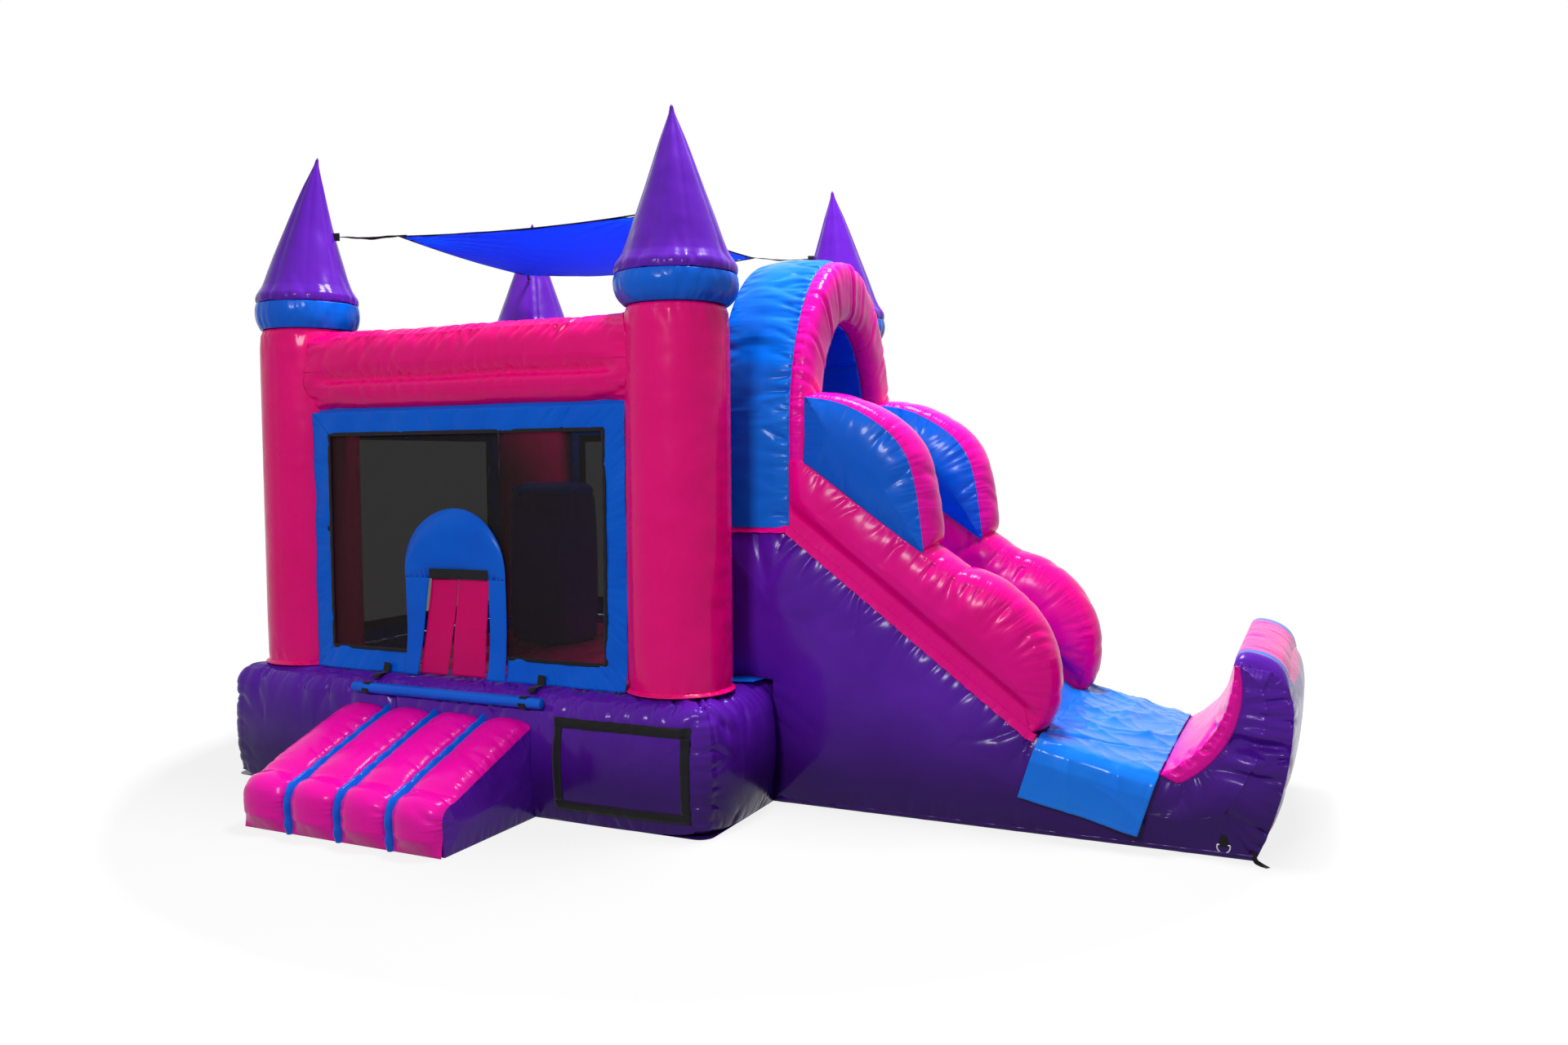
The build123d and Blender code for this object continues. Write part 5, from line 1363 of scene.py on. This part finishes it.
def climb():
    (x0, y0, z0), (x1, y1, z1), _ = node_box("climb_ramp")
    lip = x1 - .06
    body = chamber(quad((x0, z0), (x1, z0), (x1, z1), (lip, z1)), y0, y1, PURPLE, PURPLE, bulge=.02,
                   swell=(0, 0, 0, .03), depth=(0, 0, 0, .01), cell=.03, seed=910)
    sew("climb_ramp", body, "purple_vinyl")
    (_, y0, _), (_, y1, _), _ = node_box("climb_holds")
    tilt, wide, around = math.atan2(z1 - z0, lip - x0), .64, .19
    cos, sin = math.cos(tilt), math.sin(tilt)
    holds = []
    for i in range(3):
        share = (i + 1) / 4

        def hold(u, v):
            end = np.sqrt(np.clip(to_edge(u, wide) / .06, 0, 1))
            r = .060 * np.minimum(1, end + .02) + creases(u * wide, v * around, wide, 920 + i, .005, .05, .05)
            a, b = r * np.cos(PI * v), r * np.sin(PI * v)
            x, z = x0 + (lip - x0) * share + a * cos - b * sin, z0 + (z1 - z0) * share + a * sin + b * cos
            return points(x, y0 + (y1 - y0) * u, z), u * wide, v * around
        holds.append(strip(cells(wide, .02), 12, hold, PINK))
    sew("climb_holds", holds, "pink_vinyl")


def right_wall():
    (_, _, z0), (x1, y1, z1), (x, _, _) = node_box("right_wall_panels")
    strips = []
    for sign in (-1, 1):
        def panel(u, v):
            z = z0 + (z1 - z0) * v
            y0 = np.interp(z, [z0, DECK_Z, DECK_Z + .004, z1], [SLIDE_Y, SLIDE_Y, .742, .734])
            out = .006 * np.sin(9 * z)
            out += both_creases(z - z0, u, .16, z1 - z0, (940, .006, .06, .06), (941, .006, .06, .06))
            return points(x + out, sign * (y0 + (y1 - y0) * u), z), z, u * .1

        def foot(u, v):
            a, b = x1 + .004 + (BASE_X - .05 - x1) * u, sign * (SLIDE_Y + .012 + .155 * v)
            return points(a, b, BASE_TOP + .010 + .004 * np.sin(a * 30 + b * 20)), a, v * .15
        strips.append(strip(cells(.2, .02), cells(z1 - z0, .02), panel, BLUE_FLAT))
        strips.append(strip(cells(.33), cells(.155), foot, BLUE_FLAT))
    single("right_wall_panels", strips, "blue_vinyl")


# ================================================================ hardware
def tie_downs():
    patches = []
    for name in ("base_front", "base_back", "slide_near", "slide_far"):
        _, (_, _, top), (x, y, _) = node_box(f"anchor_ring_{name}")
        on_base, sign = name.startswith("base"), 1 if name == "slide_far" else -1
        # the webbing comes down the wall, round the ring's bar and back up behind it
        line = [(.004, .115), (.004, .02), (.012, .008), (.0156, 0), (.012, -.0065), (.007, -.0075),
                (.003, -.003)]
        edge, bar = sign * (BASE_X if on_base else SLIDE_Y), top - .004
        space = [(edge + sign * out, y, bar + up) if on_base else (x, edge + sign * out, bar + up)
                 for out, up in line]
        face = (sign, 0, 0) if on_base else (0, sign, 0)
        patches.append(ribbon(space, .040, [face] * 4 + [(0, 0, -1)] * 2 + [[-f for f in face]], TAPE, 36))
        metal(f"anchor_ring_{name}", STEEL)
    tail = [(4.440, -.760, .045), (4.444, -.776, .022), (4.458, -.792, .006), (4.485, -.822, .003),
            (4.515, -.850, .003)]
    tail_faces = [(0, -1, 0), (0, -1, .2), (0, -.6, .8), (0, 0, 1), (0, 0, 1)]
    patches.append(ribbon(tail, .025, tail_faces, TAPE, 24))
    tapes("anchor_patches", patches, thick=.002)


def metal(node, mat):
    """Gives a CAD node that is shown as it is its material."""
    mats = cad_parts[node].data.materials
    mats.clear()
    mats.append(mat)


def back_of_base():
    metal("zip_slider", DARK_STEEL)
    (x0, _, z0), (x1, y, z1), (_, _, z) = node_box("deflation_zip")
    line = [(x0, y - .001, z), (x1, y - .001, z)]
    teeth = [(x0 + .01, y + .0005, z), (x1 - .01, y + .0005, z)]
    tapes("deflation_zip", [ribbon(line, z1 - z0, (0, 1, 0), TAPE), ribbon(teeth, .007, (0, 1, 0), DARK_STEEL)],
          "zip_tape", thick=.002)
    (x0, y0, _), (x1, y1, _), (x, _, z) = node_box("air_inlet")
    r, long, tied = (x1 - x0) / 2, y1 - y0, .78
    run = 2 * PI * r

    def sleeve(u, v):
        off_tie = (v - tied) * long
        rr = r - .002 - .014 * hump(off_tie, .03)
        rr += creases(u * run, v * long, run, 950, .008, .12, .05, loop=True)
        rr += creases(u * run, np.abs(off_tie), run, 951, .010, .10, .04, loop=True)
        return points(x + rr * np.cos(2 * PI * u), y0 + long * v, z + rr * np.sin(2 * PI * u)), u * run, v * .5
    single("air_inlet", [strip(64, 44, sleeve, PURPLE)], "purple_vinyl", .003, -1.0)
    t = np.linspace(0, 2 * PI, 70)
    faces = points(np.cos(t), 0 * t, np.sin(t))
    tie = (x, y0 + tied * long, z) + (r - .010) * faces
    tapes("inlet_tie", [ribbon(tie, .025, faces, TAPE, 70)], nodes=[])


# ================================================================ make
SURFACE = vinyl_surface()
WEAVE = weave()
PINK = vinyl("pink_vinyl", (.88, .001, .19), (.96, .002, .25))
# a copy of the pink with painted light: more magenta, standing for the bluish light from above, on the ramp pads,
# the arch ring, the end wall's lining and crest, and the wings' edges
PINK_PAINTED_LIGHT = vinyl("pink_vinyl_painted_light", (.90, .002, .38), (.96, .006, .47), rough=.25, coat=.18)
RAIL_PINK = vinyl("rail_pink_vinyl", (.90, .001, .27), (.96, .004, .35), rough=.25, coat=.18)
PURPLE = vinyl("purple_vinyl", (.098, .008, .39), (.140, .018, .51), rough=.24)
# the same purple with painted shade, darker towards the ground, for the base and the slide
PURPLE_PAINTED_SHADE = vinyl("purple_vinyl_painted_shade", (.098, .008, .39), (.140, .018, .51), rough=.24, dust=.08, deepen=1.0)
BLUE = vinyl("blue_vinyl", (.001, .115, .72), (.003, .165, .84))
# a lighter copy of the blue: painted light, standing for the sky's reflection on the top of the arch
BLUE_PAINTED_LIGHT = vinyl("blue_vinyl_painted_light", (.002, .150, .78), (.006, .220, .90), rough=.25, coat=.18)
DEEP_BLUE = vinyl("arch_inside_vinyl", (.001, .100, .85), (.003, .140, .95))
BLUE_FLAT = vinyl("blue_sheet_vinyl", (.001, .110, .70), (.004, .155, .80), rough=.34, creases=.8, coat=.10)
PINK_FLAT = vinyl("pink_sheet_vinyl", (.66, .001, .13), (.76, .003, .18), rough=.34, creases=.8, coat=.10)
COVER = vinyl("cover_vinyl", (.001, .19, .95), (.006, .27, 1.0), rough=.20, creases=.0, coat=.35)
TAPE = cloth("black_webbing", (.005, .005, .007), 1500.0, .0005, .62, sheen=.1)
SAIL = cloth("sail_cloth", (.0004, .0065, .13), 900.0, .0003, .75, Subsurface_Weight=1.0, Subsurface_Scale=.06,
             Subsurface_Radius=(.3, .4, 1.0))
SAIL_HEM = cloth("sail_hem", (.003, .008, .05), 900.0, .0003, .75)
# black netting, made much denser than real netting, so that its dark also paints the shade inside the house seen
# through it
NET_AND_PAINTED_SHADE = cloth("window_net_and_painted_shade", (.008, .007, .007), 1250.0, .0003, .7, closed=.86)
STEEL = steel("ring_steel", (.62, .62, .63))
DARK_STEEL = steel("slider_steel", (.06, .06, .07))

camera()
studio()
for build in (turrets, top_tubes, base, jump_floor, slide, rails, wings, slide_cover, arch, ramp, windows,
              door, bumper, banner_frame, canopy, popup_column, climb, right_wall, tie_downs, back_of_base):
    build()
